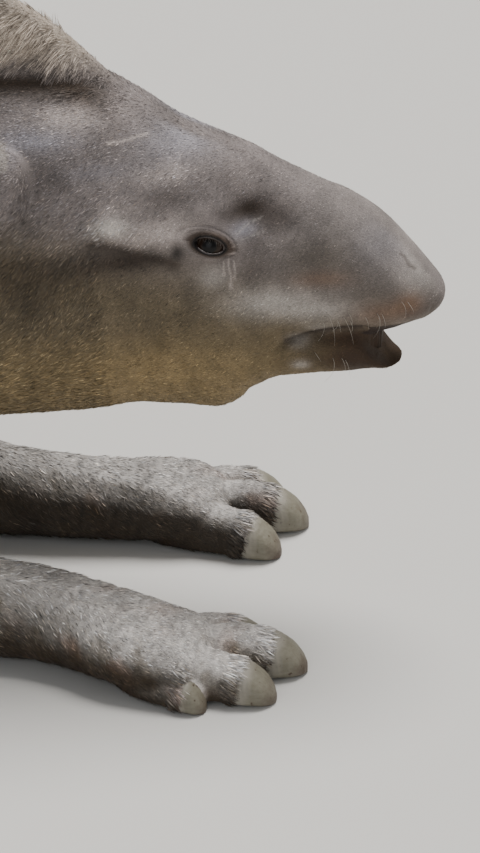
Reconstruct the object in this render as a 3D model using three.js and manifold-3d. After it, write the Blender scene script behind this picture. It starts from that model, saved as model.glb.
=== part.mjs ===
// A lowland tapir (Tapirus terrestris), adult, life size, lying on its belly with both forelegs stretched
// forward, the hind legs folded at its sides and the head held level above the forelegs.
// Millimetres. +X runs from rump to snout, +Y to the animal's left, +Z up, and the floor is z = 0.
import * as THREE from "three";
import { mergeVertices } from "three/addons/utils/BufferGeometryUtils.js";
import Module from "manifold-3d";

const wasm = await Module();
wasm.setup();

// Driving dimensions
const jointGap = 0.35; // clearance between neighbouring solids
const pocketGap = 0.6; // the same round a limb, an ear or the tail, whose facets stand off a little
const bodySides = 24; // facets round the trunk, neck and head
const limbSides = 12;
const eyeRadius = 13;
const eyeCentre = { x: 182, y: 52, z: 366 };
const lidThickness = 3;
const lidReach = 21; // half the length of the swelling that the lids make
const slitLength = 34;
const slitHeight = 11;
const slitTilt = 0.36;
const earBase = { x: 2, y: 74, z: 406 };
const earLength = 118;
const earHalfWidth = 37;
const earCupSetback = 1.5; // the cup's floor behind the plane of its rim
const nostrilCentre = { x: 362, y: 9, z: 303 };
const nostrilRadius = 6;
const nostrilShape = [1.2, 0.75, 1]; // long along the snout, narrow across
const skinPower = 2.2; // a limb's section, a little squarer than an ellipse
const solePower = 3.2; // the same for a toe's lower half

// Trunk, neck and head without jaw or crest, as upright sections from rump to snout:
// top and bottom height, half width, share of the height at which it is widest, and how square it is.
const bodySections = [
  { x: -1412, top: 296, bottom: 246, half: 26, level: 0.5, upper: 2, lower: 2 },
  { x: -1404, top: 344, bottom: 186, half: 66, level: 0.5, upper: 2, lower: 2 },
  { x: -1380, top: 390, bottom: 110, half: 104, level: 0.5, upper: 2, lower: 2 },
  { x: -1320, top: 434, bottom: 40, half: 148, level: 0.48, upper: 2, lower: 2.2 },
  { x: -1230, top: 462, bottom: -2, half: 182, level: 0.46, upper: 2, lower: 2.5 },
  { x: -1100, top: 474, bottom: -6, half: 210, level: 0.43, upper: 2, lower: 2.8 },
  { x: -950, top: 466, bottom: -8, half: 232, level: 0.4, upper: 2, lower: 2.9 },
  { x: -780, top: 456, bottom: -8, half: 238, level: 0.39, upper: 2, lower: 2.9 },
  { x: -600, top: 462, bottom: -7, half: 222, level: 0.4, upper: 2, lower: 2.8 },
  { x: -450, top: 478, bottom: -6, half: 196, level: 0.42, upper: 1.9, lower: 2.6 },
  { x: -340, top: 490, bottom: 0, half: 172, level: 0.45, upper: 1.8, lower: 2.4 },
  { x: -260, top: 502, bottom: 34, half: 150, level: 0.5, upper: 1.8, lower: 2.2 },
  { x: -190, top: 512, bottom: 92, half: 131, level: 0.53, upper: 1.8, lower: 2.1 },
  { x: -120, top: 516, bottom: 140, half: 113, level: 0.56, upper: 1.9, lower: 2 },
  { x: -50, top: 508, bottom: 166, half: 96, level: 0.58, upper: 2, lower: 2 },
  { x: 10, top: 499, bottom: 175, half: 88, level: 0.6, upper: 2.1, lower: 1.9 },
  { x: 60, top: 494, bottom: 181, half: 85, level: 0.62, upper: 2.1, lower: 1.8 },
  { x: 92, top: 484, bottom: 187, half: 82, level: 0.63, upper: 2.1, lower: 1.8 },
  { x: 116, top: 471, bottom: 192, half: 78, level: 0.63, upper: 2.1, lower: 1.8 },
  { x: 146, top: 453, bottom: 192, half: 71, level: 0.63, upper: 2.2, lower: 1.8 },
  { x: 178, top: 441, bottom: 191, half: 64, level: 0.62, upper: 2.2, lower: 1.9 },
  { x: 200, top: 433, bottom: 203, half: 60, level: 0.58, upper: 2.2, lower: 2.1 },
  { x: 220, top: 424, bottom: 240, half: 56, level: 0.5, upper: 2.1, lower: 2.6 },
  { x: 240, top: 415, bottom: 262, half: 52, level: 0.47, upper: 2, lower: 3 },
  { x: 262, top: 406, bottom: 266, half: 48, level: 0.45, upper: 2, lower: 3.2 },
  { x: 284, top: 397, bottom: 268, half: 45, level: 0.45, upper: 2, lower: 3.2 },
  { x: 301, top: 388, bottom: 271, half: 42, level: 0.45, upper: 2, lower: 3 },
  { x: 320, top: 373, bottom: 275, half: 38, level: 0.45, upper: 2, lower: 2.6 },
  { x: 338, top: 353, bottom: 281, half: 33, level: 0.45, upper: 2, lower: 2.2 },
  { x: 352, top: 336, bottom: 286, half: 27, level: 0.47, upper: 2, lower: 2 },
  { x: 362, top: 324, bottom: 294, half: 19, level: 0.5, upper: 2, lower: 2 },
  { x: 367, top: 315, bottom: 303, half: 9, level: 0.5, upper: 2, lower: 2 },
];
const bodyStations = [
  ...[-1412, -1404, -1380, -1340],
  ...spaced(-1280, -400, 11),
  ...spaced(-330, -60, 6),
  ...spaced(-20, 330, 17),
  ...[340, 350, 360, 367],
];

// Fleshy crest from the forehead over the nape to the withers; its foot is buried in the neck
const crestSections = [
  { x: -470, top: 480, bottom: 400, half: 16 },
  { x: -380, top: 498, bottom: 400, half: 26 },
  { x: -300, top: 520, bottom: 410, half: 36 },
  { x: -220, top: 546, bottom: 420, half: 44 },
  { x: -140, top: 566, bottom: 430, half: 47 },
  { x: -70, top: 575, bottom: 430, half: 45 },
  { x: -4, top: 564, bottom: 430, half: 40 },
  { x: 24, top: 552, bottom: 430, half: 37 },
  { x: 55, top: 530, bottom: 425, half: 34 },
  { x: 85, top: 503, bottom: 415, half: 30 },
  { x: 116, top: 475, bottom: 405, half: 25 },
  { x: 140, top: 452, bottom: 400, half: 18 },
];

// Lower jaw and chin
const jawSections = [
  { x: 150, top: 280, bottom: 216, half: 34, level: 0.55, upper: 2.6, lower: 2 },
  { x: 182, top: 280, bottom: 207, half: 40, level: 0.55, upper: 2.6, lower: 2 },
  { x: 206, top: 288, bottom: 214, half: 48, level: 0.55, upper: 2.8, lower: 2 },
  { x: 236, top: 289, bottom: 230, half: 49, level: 0.55, upper: 3.2, lower: 2 },
  { x: 270, top: 288, bottom: 234, half: 44.5, level: 0.55, upper: 3.4, lower: 2 },
  { x: 296, top: 285, bottom: 237, half: 40, level: 0.55, upper: 3.4, lower: 2 },
  { x: 307, top: 278, bottom: 239, half: 36, level: 0.58, upper: 3.2, lower: 2 },
  { x: 319, top: 269, bottom: 242, half: 29, level: 0.6, upper: 2.8, lower: 2 },
  { x: 328, top: 263, bottom: 247, half: 19, level: 0.55, upper: 2.2, lower: 2 },
  { x: 333, top: 258, bottom: 253, half: 8, level: 0.5, upper: 2, lower: 2 },
];

// Limb stations: centre, half width across, half height, for the animal's right side
const upperForelegs = {
  right: [
    { at: [-412, -112, 400], wide: 22, tall: 30 },
    { at: [-362, -138, 340], wide: 38, tall: 58 },
    { at: [-312, -156, 264], wide: 50, tall: 76 },
    { at: [-278, -164, 190], wide: 54, tall: 76 },
    { at: [-262, -166, 128], wide: 52, tall: 66 },
    { at: [-258, -164, 84], wide: 46, tall: 50 },
    { at: [-256, -162, 58], wide: 26, tall: 28 },
  ],
};
upperForelegs.left = upperForelegs.right.map(mirrored);
const lowerForelegs = {
  right: [
    { at: [-312, -160, 50], wide: 34, tall: 36 },
    { at: [-262, -158, 58], wide: 52, tall: 60 },
    { at: [-180, -144, 56], wide: 50, tall: 57 },
    { at: [-90, -118, 49], wide: 42, tall: 48 },
    { at: [-20, -98, 43], wide: 40, tall: 44 },
    { at: [32, -99, 40], wide: 41, tall: 41 },
    { at: [80, -111, 37], wide: 42, tall: 38 },
    { at: [128, -126, 33], wide: 50, tall: 34 },
    { at: [166, -132, 28], wide: 50, tall: 29 },
    { at: [184, -134, 22], wide: 36, tall: 20 },
  ],
  left: [
    { at: [-312, 160, 50], wide: 34, tall: 36 },
    { at: [-262, 158, 58], wide: 52, tall: 60 },
    { at: [-180, 146, 56], wide: 50, tall: 57 },
    { at: [-90, 122, 49], wide: 42, tall: 48 },
    { at: [-20, 104, 42], wide: 38, tall: 41 },
    { at: [32, 105, 39], wide: 37, tall: 38 },
    { at: [80, 110, 36], wide: 39, tall: 36 },
    { at: [118, 120, 33], wide: 48, tall: 33 },
    { at: [148, 128, 28], wide: 50, tall: 28 },
    { at: [166, 132, 22], wide: 36, tall: 20 },
  ],
};
const thighs = {
  right: [
    { at: [-1300, -92, 384], wide: 34, tall: 44 },
    { at: [-1246, -126, 330], wide: 64, tall: 98 },
    { at: [-1165, -160, 260], wide: 80, tall: 128 },
    { at: [-1080, -186, 204], wide: 80, tall: 118 },
    { at: [-998, -206, 162], wide: 68, tall: 92 },
    { at: [-934, -214, 138], wide: 48, tall: 58 },
    { at: [-904, -216, 128], wide: 22, tall: 26 },
  ],
};
thighs.left = thighs.right.map(mirrored);
const shanks = {
  right: [
    { at: [-965, -216, 112], wide: 40, tall: 40 },
    { at: [-1030, -226, 100], wide: 50, tall: 52 },
    { at: [-1120, -232, 80], wide: 46, tall: 50 },
    { at: [-1205, -228, 62], wide: 36, tall: 42 },
    { at: [-1262, -222, 48], wide: 32, tall: 38 },
    { at: [-1292, -220, 42], wide: 18, tall: 20 },
  ],
};
shanks.left = shanks.right.map(mirrored);
const hindFeet = {
  right: [
    { at: [-1296, -224, 30], wide: 22, tall: 24 },
    { at: [-1264, -230, 32], wide: 32, tall: 33 },
    { at: [-1200, -246, 30], wide: 32, tall: 31 },
    { at: [-1120, -262, 30], wide: 34, tall: 31 },
    { at: [-1050, -272, 30], wide: 40, tall: 31 },
    { at: [-1000, -278, 28], wide: 46, tall: 29 },
    { at: [-976, -280, 22], wide: 32, tall: 18 },
  ],
};
hindFeet.left = hindFeet.right.map(mirrored);

// Toes: where the toe leaves the foot, where its hoof ends, half width and height
const foreToes = {
  right: [
    { root: [142, -92], tip: [230, -66], half: 16, height: 38 },
    { root: [158, -118], tip: [266, -100], half: 21, height: 46 },
    { root: [146, -148], tip: [246, -153], half: 20, height: 43 },
    { root: [132, -158], tip: [190, -178], half: 14, height: 34 },
  ],
  left: [
    { root: [126, 100], tip: [222, 88], half: 20, height: 43 },
    { root: [138, 130], tip: [240, 146], half: 21, height: 46 },
    { root: [120, 154], tip: [216, 186], half: 19, height: 42 },
    { root: [88, 158], tip: [150, 198], half: 13, height: 34 },
  ],
};
const hindToes = {
  right: [
    { root: [-1008, -252], tip: [-918, -244], half: 17.5, height: 42 },
    { root: [-1000, -280], tip: [-896, -282], half: 20.5, height: 48 },
    { root: [-1012, -306], tip: [-922, -322], half: 17.5, height: 42 },
  ],
};
hindToes.left = hindToes.right.map((toe) => ({
  ...toe,
  root: [toe.root[0], -toe.root[1]],
  tip: [toe.tip[0], -toe.tip[1]],
}));

// A toe along its length: half width and top height as shares of the toe's own, and the sole's lift
const toeOutline = [
  { x: -0.34, half: 0.3, top: 0.7, lift: 0.45 },
  { x: 0, half: 0.84, top: 0.88 },
  { x: 0.45, half: 1, top: 1 },
  { x: 0.7, half: 0.99, top: 0.86 },
  { x: 0.88, half: 0.84, top: 0.6 },
  { x: 0.97, half: 0.5, top: 0.34 },
  { x: 1, half: 0.2, top: 0.18 },
];
const toeSides = 8;
const toeWidest = 0.4; // share of a toe's height at which it is widest
const hoofStart = 0.68; // share of the toe's length where the hoof begins on top
const hoofSlant = -0.1; // and how much further forward it begins at the ground

// Short stiff hair of the crest, as locks in three rows
const maneFrom = 104;
const maneTo = -452;
const maneStep = 33;
const maneScatter = 5;
const rowLean = { from: 0.62, spread: 0.2 }; // radians from upright for the rows at each side
const rootDepth = 8;
const sideDrop = 16; // a side row's roots lie lower as they lean
const rootReach = 0.72; // share of the crest's half width
const lockLength = 60;
const lockHalfWidth = 13;
const lockHalfThickness = 4;
const lockVariation = { from: 0.85, spread: 0.3 };
const lockShares = [0, 0.35, 0.7, 1];
const lockLift = 0.3; // how fast a lock leaves the skin, as a share of its length
const lockBend = 0.2; // and how it bends back

const tailStations = [
  { at: [-1372, 0, 398], wide: 26, tall: 26 },
  { at: [-1408, 0, 372], wide: 25, tall: 24 },
  { at: [-1434, 0, 336], wide: 20, tall: 19 },
  { at: [-1446, 0, 300], wide: 14, tall: 13 },
  { at: [-1449, 0, 284], wide: 6, tall: 6 },
];

// Cuts between head, neck and torso: a point on the plane and its normal towards the snout
const headCut = { x: -2, z: 330, lean: 0.42 };
const neckCut = { x: -262, z: 300, lean: 0.4 };

function spaced(from, to, count) {
  return Array.from({ length: count }, (_, i) => from + ((to - from) * i) / (count - 1));
}

function mirrored(station) {
  return { ...station, at: [station.at[0], -station.at[1], station.at[2]] };
}

// Smooth curve through a table's values that never overshoots them
function smooth(table, key, x) {
  const last = table.length - 1;
  if (x <= table[0].x) return table[0][key];
  if (x >= table[last].x) return table[last][key];
  const i = table.findIndex((row) => row.x > x) - 1;
  const slope = (j) => (table[j + 1][key] - table[j][key]) / (table[j + 1].x - table[j].x);
  const tangent = (j) => {
    if (j === 0) return slope(0);
    if (j === last) return slope(last - 1);
    const before = slope(j - 1);
    const after = slope(j);
    return before * after <= 0 ? 0 : (2 * before * after) / (before + after);
  };
  const step = table[i + 1].x - table[i].x;
  const t = (x - table[i].x) / step;
  const a = table[i][key];
  const b = table[i + 1][key];
  return (
    a * (1 + 2 * t) * (1 - t) ** 2 +
    tangent(i) * step * t * (1 - t) ** 2 +
    b * t * t * (3 - 2 * t) +
    tangent(i + 1) * step * t * t * (t - 1)
  );
}

// One point of a rounded section, from -1 to 1 each way; power 2 is an ellipse and more is squarer
function rounded(angle, power) {
  const c = Math.cos(angle);
  const s = Math.sin(angle);
  return [
    Math.sign(c) * Math.abs(c) ** (2 / power),
    Math.sign(s) * Math.abs(s) ** (2 / power),
  ];
}

// Closed solid through rings of points, with a fan over each end
function loft(rings) {
  const sides = rings[0].length;
  const positions = rings.flat().flatMap((p) => [p.x, p.y, p.z]);
  const centre = (ring) => ring.reduce((sum, p) => sum.add(p), new THREE.Vector3()).divideScalar(sides);
  for (const ring of [rings[0], rings.at(-1)]) positions.push(...centre(ring).toArray());
  const first = rings.length * sides;
  const index = [];
  for (let j = 0; j < sides; j++) {
    const k = (j + 1) % sides;
    for (let i = 0; i + 1 < rings.length; i++) {
      const a = i * sides + j;
      const b = i * sides + k;
      index.push(a, b, a + sides, b, b + sides, a + sides);
    }
    const end = (rings.length - 1) * sides;
    index.push(first, k, j, first + 1, end + j, end + k);
  }
  const geometry = new THREE.BufferGeometry();
  geometry.setAttribute("position", new THREE.Float32BufferAttribute(positions, 3));
  geometry.setIndex(index);
  return solidOf(geometry);
}

function solidOf(geometry) {
  const bare = geometry.clone();
  bare.deleteAttribute("normal");
  bare.deleteAttribute("uv");
  const merged = mergeVertices(bare, 1e-4);
  const solid = new wasm.Manifold(
    new wasm.Mesh({
      numProp: 3,
      vertProperties: merged.attributes.position.array,
      triVerts: new Uint32Array(merged.index.array),
    }),
  );
  return solid.volume() < 0 ? turned(merged) : solid;
}

// The same surface with its faces turned outwards
function turned(geometry) {
  const triVerts = new Uint32Array(geometry.index.array);
  for (let i = 0; i < triVerts.length; i += 3) {
    [triVerts[i + 1], triVerts[i + 2]] = [triVerts[i + 2], triVerts[i + 1]];
  }
  return new wasm.Manifold(
    new wasm.Mesh({ numProp: 3, vertProperties: geometry.attributes.position.array, triVerts }),
  );
}

// Upright sections joined along X
function uprightLoft(table, stations, sides) {
  const rings = stations.map((x) => {
    const top = smooth(table, "top", x);
    const bottom = smooth(table, "bottom", x);
    const half = smooth(table, "half", x);
    const middle = bottom + (top - bottom) * ("level" in table[0] ? smooth(table, "level", x) : 0.5);
    const upper = "upper" in table[0] ? smooth(table, "upper", x) : 2;
    const lower = "lower" in table[0] ? smooth(table, "lower", x) : 2;
    return Array.from({ length: sides }, (_, j) => {
      const angle = (2 * Math.PI * j) / sides;
      const above = Math.sin(angle) >= 0;
      const [across, up] = rounded(angle, above ? upper : lower);
      return new THREE.Vector3(x, half * across, middle + up * (above ? top - middle : middle - bottom));
    });
  });
  return loft(rings);
}

// Sections square to a smooth path; grow thickens it all over for a clearance pocket
function limb(stations, steps, grow = 0, sides = limbSides) {
  const path = new THREE.CatmullRomCurve3(
    stations.map((s) => new THREE.Vector3(...s.at)),
    false,
    "centripetal",
  );
  const sizes = stations.map((s, i) => ({ x: i, wide: s.wide, tall: s.tall }));
  const rings = Array.from({ length: steps + 1 }, (_, i) => {
    const place = (i / steps) * (stations.length - 1);
    const share = i / steps;
    const centre = path.getPoint(share);
    const along = path.getTangent(share);
    if (i === 0) centre.addScaledVector(along, -grow);
    if (i === steps) centre.addScaledVector(along, grow);
    const across = new THREE.Vector3(0, 1, 0).addScaledVector(along, -along.y).normalize();
    const up = along.clone().cross(across);
    const wide = smooth(sizes, "wide", place) + grow;
    const tall = smooth(sizes, "tall", place) + grow;
    return Array.from({ length: sides }, (_, j) => {
      const [a, b] = rounded((2 * Math.PI * j) / sides, skinPower);
      return centre.clone().addScaledVector(across, a * wide).addScaledVector(up, b * tall);
    });
  });
  return loft(rings);
}

// A toe from foot to hoof tip, flat under the sole
function toeSolid(toe, grow = 0) {
  const root = new THREE.Vector3(toe.root[0], toe.root[1], 0);
  const tip = new THREE.Vector3(toe.tip[0], toe.tip[1], 0);
  const along = tip.clone().sub(root);
  const across = new THREE.Vector3(0, 0, 1).cross(along).normalize();
  const rings = toeOutline.map((row, i) => {
    const reach = i === toeOutline.length - 1 ? grow : i === 0 ? -grow : 0;
    const centre = root.clone().addScaledVector(along, row.x + reach / along.length());
    const half = toe.half * row.half + grow;
    const top = toe.height * row.top + grow;
    return Array.from({ length: toeSides }, (_, j) => {
      const angle = (2 * Math.PI * j) / toeSides;
      const [a, b] = rounded(angle, Math.sin(angle) >= 0 ? skinPower : solePower);
      const middle = top * toeWidest;
      return new THREE.Vector3(
        centre.x + across.x * a * half,
        centre.y + across.y * a * half,
        middle + b * (b >= 0 ? top - middle : middle * (1 - (row.lift ?? 0)) + grow),
      );
    });
  });
  return loft(rings);
}

// Large block on one side of a plane through `point`, on the side that `normal` points to
function halfSpace(point, normal) {
  const size = 4000;
  const box = new THREE.BoxGeometry(size, size, size);
  box.translate(size / 2, 0, 0);
  const facing = normal.clone().normalize();
  box.applyQuaternion(new THREE.Quaternion().setFromUnitVectors(new THREE.Vector3(1, 0, 0), facing));
  box.translate(point.x, point.y, point.z);
  return solidOf(box);
}

// The part of space in front of a hoof's cuticle, moved along the toe by shift
function hoofFront(toe, shift) {
  const root = new THREE.Vector3(toe.root[0], toe.root[1], 0);
  const along = new THREE.Vector3(toe.tip[0], toe.tip[1], 0).sub(root);
  const normal = along.clone().normalize();
  const point = root.clone().addScaledVector(along, hoofStart).addScaledVector(normal, shift);
  point.z = toe.height;
  normal.z = (hoofSlant * along.length()) / toe.height;
  return halfSpace(point, normal);
}

function toeFlesh(toe) {
  return toeSolid(toe).subtract(hoofFront(toe, -jointGap));
}

// The room that the foot leaves for a hoof
function hoofPocket(toe) {
  return toeSolid(toe, jointGap).intersect(hoofFront(toe, -jointGap));
}

function sphere(centre, radius, scale = [1, 1, 1], segments = 16) {
  const ball = new THREE.SphereGeometry(radius, segments, segments / 2);
  ball.scale(...scale);
  ball.translate(centre.x, centre.y, centre.z);
  return solidOf(ball);
}

// One flat, tapered, bent lock of crest hair
function lock(root, along, out, length, halfWidth) {
  const side = along.clone().cross(out).normalize();
  const rings = lockShares.map((t) => {
    const rise = length * (lockLift * t - lockBend * t * t);
    const centre = root.clone().addScaledVector(along, length * t).addScaledVector(out, rise);
    const width = halfWidth * (1 - 0.86 * t ** 1.4);
    const thick = lockHalfThickness * (1 - 0.75 * t);
    return [
      [1, 0],
      [0, 1],
      [-1, 0],
      [0, -1],
    ].map(([a, b]) => centre.clone().addScaledVector(side, a * width).addScaledVector(out, b * thick));
  });
  return loft(rings);
}

// Repeatable draw from 0 to 1 for the locks
let drawSeed = 41;
function draw() {
  drawSeed = (drawSeed * 16807) % 2147483647;
  return drawSeed / 2147483647;
}

// Three rows of locks along the crest, shorter towards its two ends
function maneLocks() {
  const locks = [];
  const crestTop = (x) => smooth(crestSections, "top", x);
  const varied = () => lockVariation.from + lockVariation.spread * draw();
  const slopeSpan = 6;
  for (let x = maneFrom; x > maneTo; x -= maneStep) {
    for (const side of [-1, 0, 1]) {
      const place = x - (side === 0 ? 0 : maneStep / 2) + maneScatter * (draw() - 0.5);
      const slope = (crestTop(place + slopeSpan) - crestTop(place - slopeSpan)) / (2 * slopeSpan);
      const back = new THREE.Vector3(-1, 0, -slope).normalize();
      const half = smooth(crestSections, "half", place);
      const lean = side * (rowLean.from + rowLean.spread * draw());
      const out = new THREE.Vector3(0, Math.sin(lean), Math.cos(lean));
      const depth = rootDepth + sideDrop * (1 - Math.cos(lean));
      const root = new THREE.Vector3(place, rootReach * half * Math.sin(lean), crestTop(place) - depth);
      const atFront = Math.min(1, 0.45 + (maneFrom - place) / 120);
      const atBack = Math.min(1, 0.5 + (place - maneTo) / 160);
      const length = lockLength * atFront * atBack * varied();
      locks.push(lock(root, back, out, length, lockHalfWidth * varied()));
    }
  }
  return locks;
}

// Ear: a cup on a round foot, open outwards and forwards, on the side given by -1 (right) or 1 (left);
// as a pocket it is filled in and a little larger
function earSolid(side, pocket = false) {
  const grow = pocket ? pocketGap : 0;
  const base = new THREE.Vector3(earBase.x, side * earBase.y, earBase.z);
  const along = new THREE.Vector3(-0.86, side * 0.36, 0.37).normalize();
  const mouth = new THREE.Vector3(0.28, side * 0.9, -0.3);
  mouth.addScaledVector(along, -mouth.dot(along)).normalize();
  const across = along.clone().cross(mouth);
  const profile = [
    { x: -0.28, width: 0.5, back: 0.4, hollow: -0.4 },
    { x: -0.16, width: 1.02, back: 0.7, hollow: -0.7 },
    { x: 0, width: 1.28, back: 0.9, hollow: -0.8 },
    { x: 0.12, width: 1.28, back: 0.92, hollow: -0.46 },
    { x: 0.24, width: 1.2, back: 0.86, hollow: 0.1 },
    { x: 0.36, width: 1.14, back: 0.8, hollow: 0.52 },
    { x: 0.54, width: 1.06, back: 0.7, hollow: 0.55 },
    { x: 0.74, width: 0.88, back: 0.52, hollow: 0.38 },
    { x: 0.89, width: 0.58, back: 0.32, hollow: 0.2 },
    { x: 1, width: 0.14, back: 0.1, hollow: -0.02 },
  ];
  const arc = 9;
  const rings = profile.map((row, i) => {
    const centre = base.clone().addScaledVector(along, earLength * row.x + (i === 0 ? -grow : 0));
    const ring = [];
    for (const [depth, offset, turn] of [
      [row.back, grow, 1],
      [pocket ? -row.back : row.hollow, -earCupSetback - grow, -1],
    ]) {
      for (let j = 0; j < arc; j++) {
        const angle = turn * ((j / (arc - 1)) * 2 - 1) * (Math.PI / 2);
        const cup = -depth * Math.cos(angle) * earHalfWidth;
        ring.push(
          centre
            .clone()
            .addScaledVector(across, Math.sin(angle) * (earHalfWidth * row.width + grow))
            .addScaledVector(mouth, cup - offset),
        );
      }
    }
    return ring;
  });
  return loft(rings);
}

// Both eyelids as one shell over the eyeball with a narrow slit that falls towards the snout
function eyelids(side) {
  const centre = { ...eyeCentre, y: side * eyeCentre.y };
  const shell = new THREE.SphereGeometry(1, 16, 10);
  shell.scale(lidReach, eyeRadius + lidThickness, eyeRadius + lidThickness + 1);
  const slit = new THREE.SphereGeometry(1, 12, 8);
  slit.scale(slitLength / 2, 40, slitHeight / 2);
  return [shell, slit]
    .map((shape) => {
      shape.rotateY(slitTilt);
      shape.translate(centre.x, centre.y, centre.z);
      return solidOf(shape);
    })
    .reduce((lids, opening) => lids.subtract(opening));
}

function unionOf(solids) {
  return solids.reduce((all, next) => all.add(next));
}

function without(solid, cutters) {
  return cutters.reduce((rest, cutter) => rest.subtract(cutter), solid);
}

// The largest closed piece, which drops any scrap that a cut leaves
function largest(solid) {
  return solid.decompose().reduce((best, piece) => (piece.volume() > best.volume() ? piece : best));
}

function geometryOf(solid) {
  const { vertProperties, triVerts } = solid.getMesh();
  const geometry = new THREE.BufferGeometry();
  geometry.setAttribute("position", new THREE.BufferAttribute(vertProperties, 3));
  geometry.setIndex(new THREE.BufferAttribute(triVerts, 1));
  return geometry;
}

const aboveFloor = halfSpace(new THREE.Vector3(0, 0, 0), new THREE.Vector3(0, 0, 1));
const sideNames = { right: -1, left: 1 };
const limbSteps = { upper: 8, lower: 13, thigh: 8, shank: 6, foot: 7 };

function cutPlane(cut, shift) {
  return halfSpace(new THREE.Vector3(cut.x + shift, 0, cut.z), new THREE.Vector3(1, 0, cut.lean));
}

function backSpace(cut) {
  return halfSpace(new THREE.Vector3(cut.x - jointGap, 0, cut.z), new THREE.Vector3(-1, 0, -cut.lean));
}

const solids = new Map();
const grown = { upper: [], lower: [], thigh: [], shank: [], foot: [], ear: [] };

for (const [name, side] of Object.entries(sideNames)) {
  grown.upper.push(limb(upperForelegs[name], limbSteps.upper, pocketGap));
  grown.lower.push(limb(lowerForelegs[name], limbSteps.lower, pocketGap));
  grown.thigh.push(limb(thighs[name], limbSteps.thigh, pocketGap));
  grown.shank.push(limb(shanks[name], limbSteps.shank, pocketGap));
  grown.foot.push(limb(hindFeet[name], limbSteps.foot, pocketGap));
  grown.ear.push(earSolid(side, true));
}
const grownTail = limb(tailStations, 6, pocketGap);

// Trunk, neck and head in one, with crest and mane, before the parting cuts
const whole = unionOf([
  uprightLoft(bodySections, bodyStations, bodySides),
  uprightLoft(crestSections, spaced(-470, 140, 14), 12),
  ...maneLocks(),
]);

const torso = without(whole.intersect(backSpace(neckCut)).intersect(aboveFloor), [
  ...grown.upper,
  ...grown.lower,
  ...grown.thigh,
  ...grown.shank,
  ...grown.foot,
  grownTail,
]);
solids.set("torso", torso);

const neck = without(whole.intersect(backSpace(headCut)).intersect(cutPlane(neckCut, 0)), [
  ...grown.upper,
  ...grown.lower,
  ...grown.ear,
]);
solids.set("neck", neck);

const jaw = uprightLoft(jawSections, jawSections.map((row) => row.x), 16);
const sockets = [];
const nostrils = [];
for (const side of Object.values(sideNames)) {
  sockets.push(sphere({ ...eyeCentre, y: side * eyeCentre.y }, eyeRadius + jointGap));
  const opening = { ...nostrilCentre, y: side * nostrilCentre.y };
  nostrils.push(sphere(opening, nostrilRadius, nostrilShape, 12));
}
const lids = Object.values(sideNames).map(eyelids);
const head = without(unionOf([whole.intersect(cutPlane(headCut, 0)), jaw, ...lids]), [
  ...sockets,
  ...nostrils,
  ...grown.ear,
]);
solids.set("head", head);
solids.set("tail", limb(tailStations, 6));

for (const [index, [name, side]] of Object.entries(sideNames).entries()) {
  solids.set("ear_" + name, earSolid(side));
  solids.set("eye_" + name, sphere({ ...eyeCentre, y: side * eyeCentre.y }, eyeRadius));

  const upper = limb(upperForelegs[name], limbSteps.upper).intersect(aboveFloor);
  solids.set("upper_foreleg_" + name, upper);

  const foreToeFlesh = foreToes[name].map(toeFlesh);
  const foreHooves = foreToes[name].map(hoofPocket);
  const lower = without(unionOf([limb(lowerForelegs[name], limbSteps.lower), ...foreToeFlesh]), [
    grown.upper[index],
    ...foreHooves,
  ]);
  solids.set("lower_foreleg_" + name, lower.intersect(aboveFloor));

  solids.set("thigh_" + name, limb(thighs[name], limbSteps.thigh).intersect(aboveFloor));
  const shank = limb(shanks[name], limbSteps.shank).subtract(grown.thigh[index]);
  solids.set("shank_" + name, shank.intersect(aboveFloor));
  const hindToeFlesh = hindToes[name].map(toeFlesh);
  const hindHooves = hindToes[name].map(hoofPocket);
  const foot = without(unionOf([limb(hindFeet[name], limbSteps.foot), ...hindToeFlesh]), [
    grown.thigh[index],
    grown.shank[index],
    ...hindHooves,
  ]);
  solids.set("hind_foot_" + name, foot.intersect(aboveFloor));

  for (const [foot, toes] of [
    ["fore", foreToes[name]],
    ["hind", hindToes[name]],
  ]) {
    toes.forEach((toe, i) => {
      solids.set(foot + "_hoof_" + name + "_" + (i + 1), toeSolid(toe).intersect(hoofFront(toe, 0)));
    });
  }
}

const finishes = {
  coat: new THREE.MeshStandardMaterial({ color: 0x6f6458, roughness: 0.85 }),
  horn: new THREE.MeshStandardMaterial({ color: 0x9a9080, roughness: 0.55 }),
  eye: new THREE.MeshStandardMaterial({ color: 0x1c120c, roughness: 0.15 }),
};

function finishOf(name) {
  if (name.includes("hoof")) return finishes.horn;
  return name.startsWith("eye") ? finishes.eye : finishes.coat;
}

const tapir = new THREE.Group();
for (const [name, solid] of solids) {
  const geometry = geometryOf(largest(solidOf(geometryOf(largest(solid)))));
  const mesh = new THREE.Mesh(geometry, finishOf(name));
  mesh.name = name;
  tapir.add(mesh);
}

// The origin is the middle of the floor under the animal
const extent = new THREE.Box3().setFromObject(tapir);
const middle = extent.getCenter(new THREE.Vector3());
tapir.position.set(-middle.x, -middle.y, -extent.min.z);

export default tapir;
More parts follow.
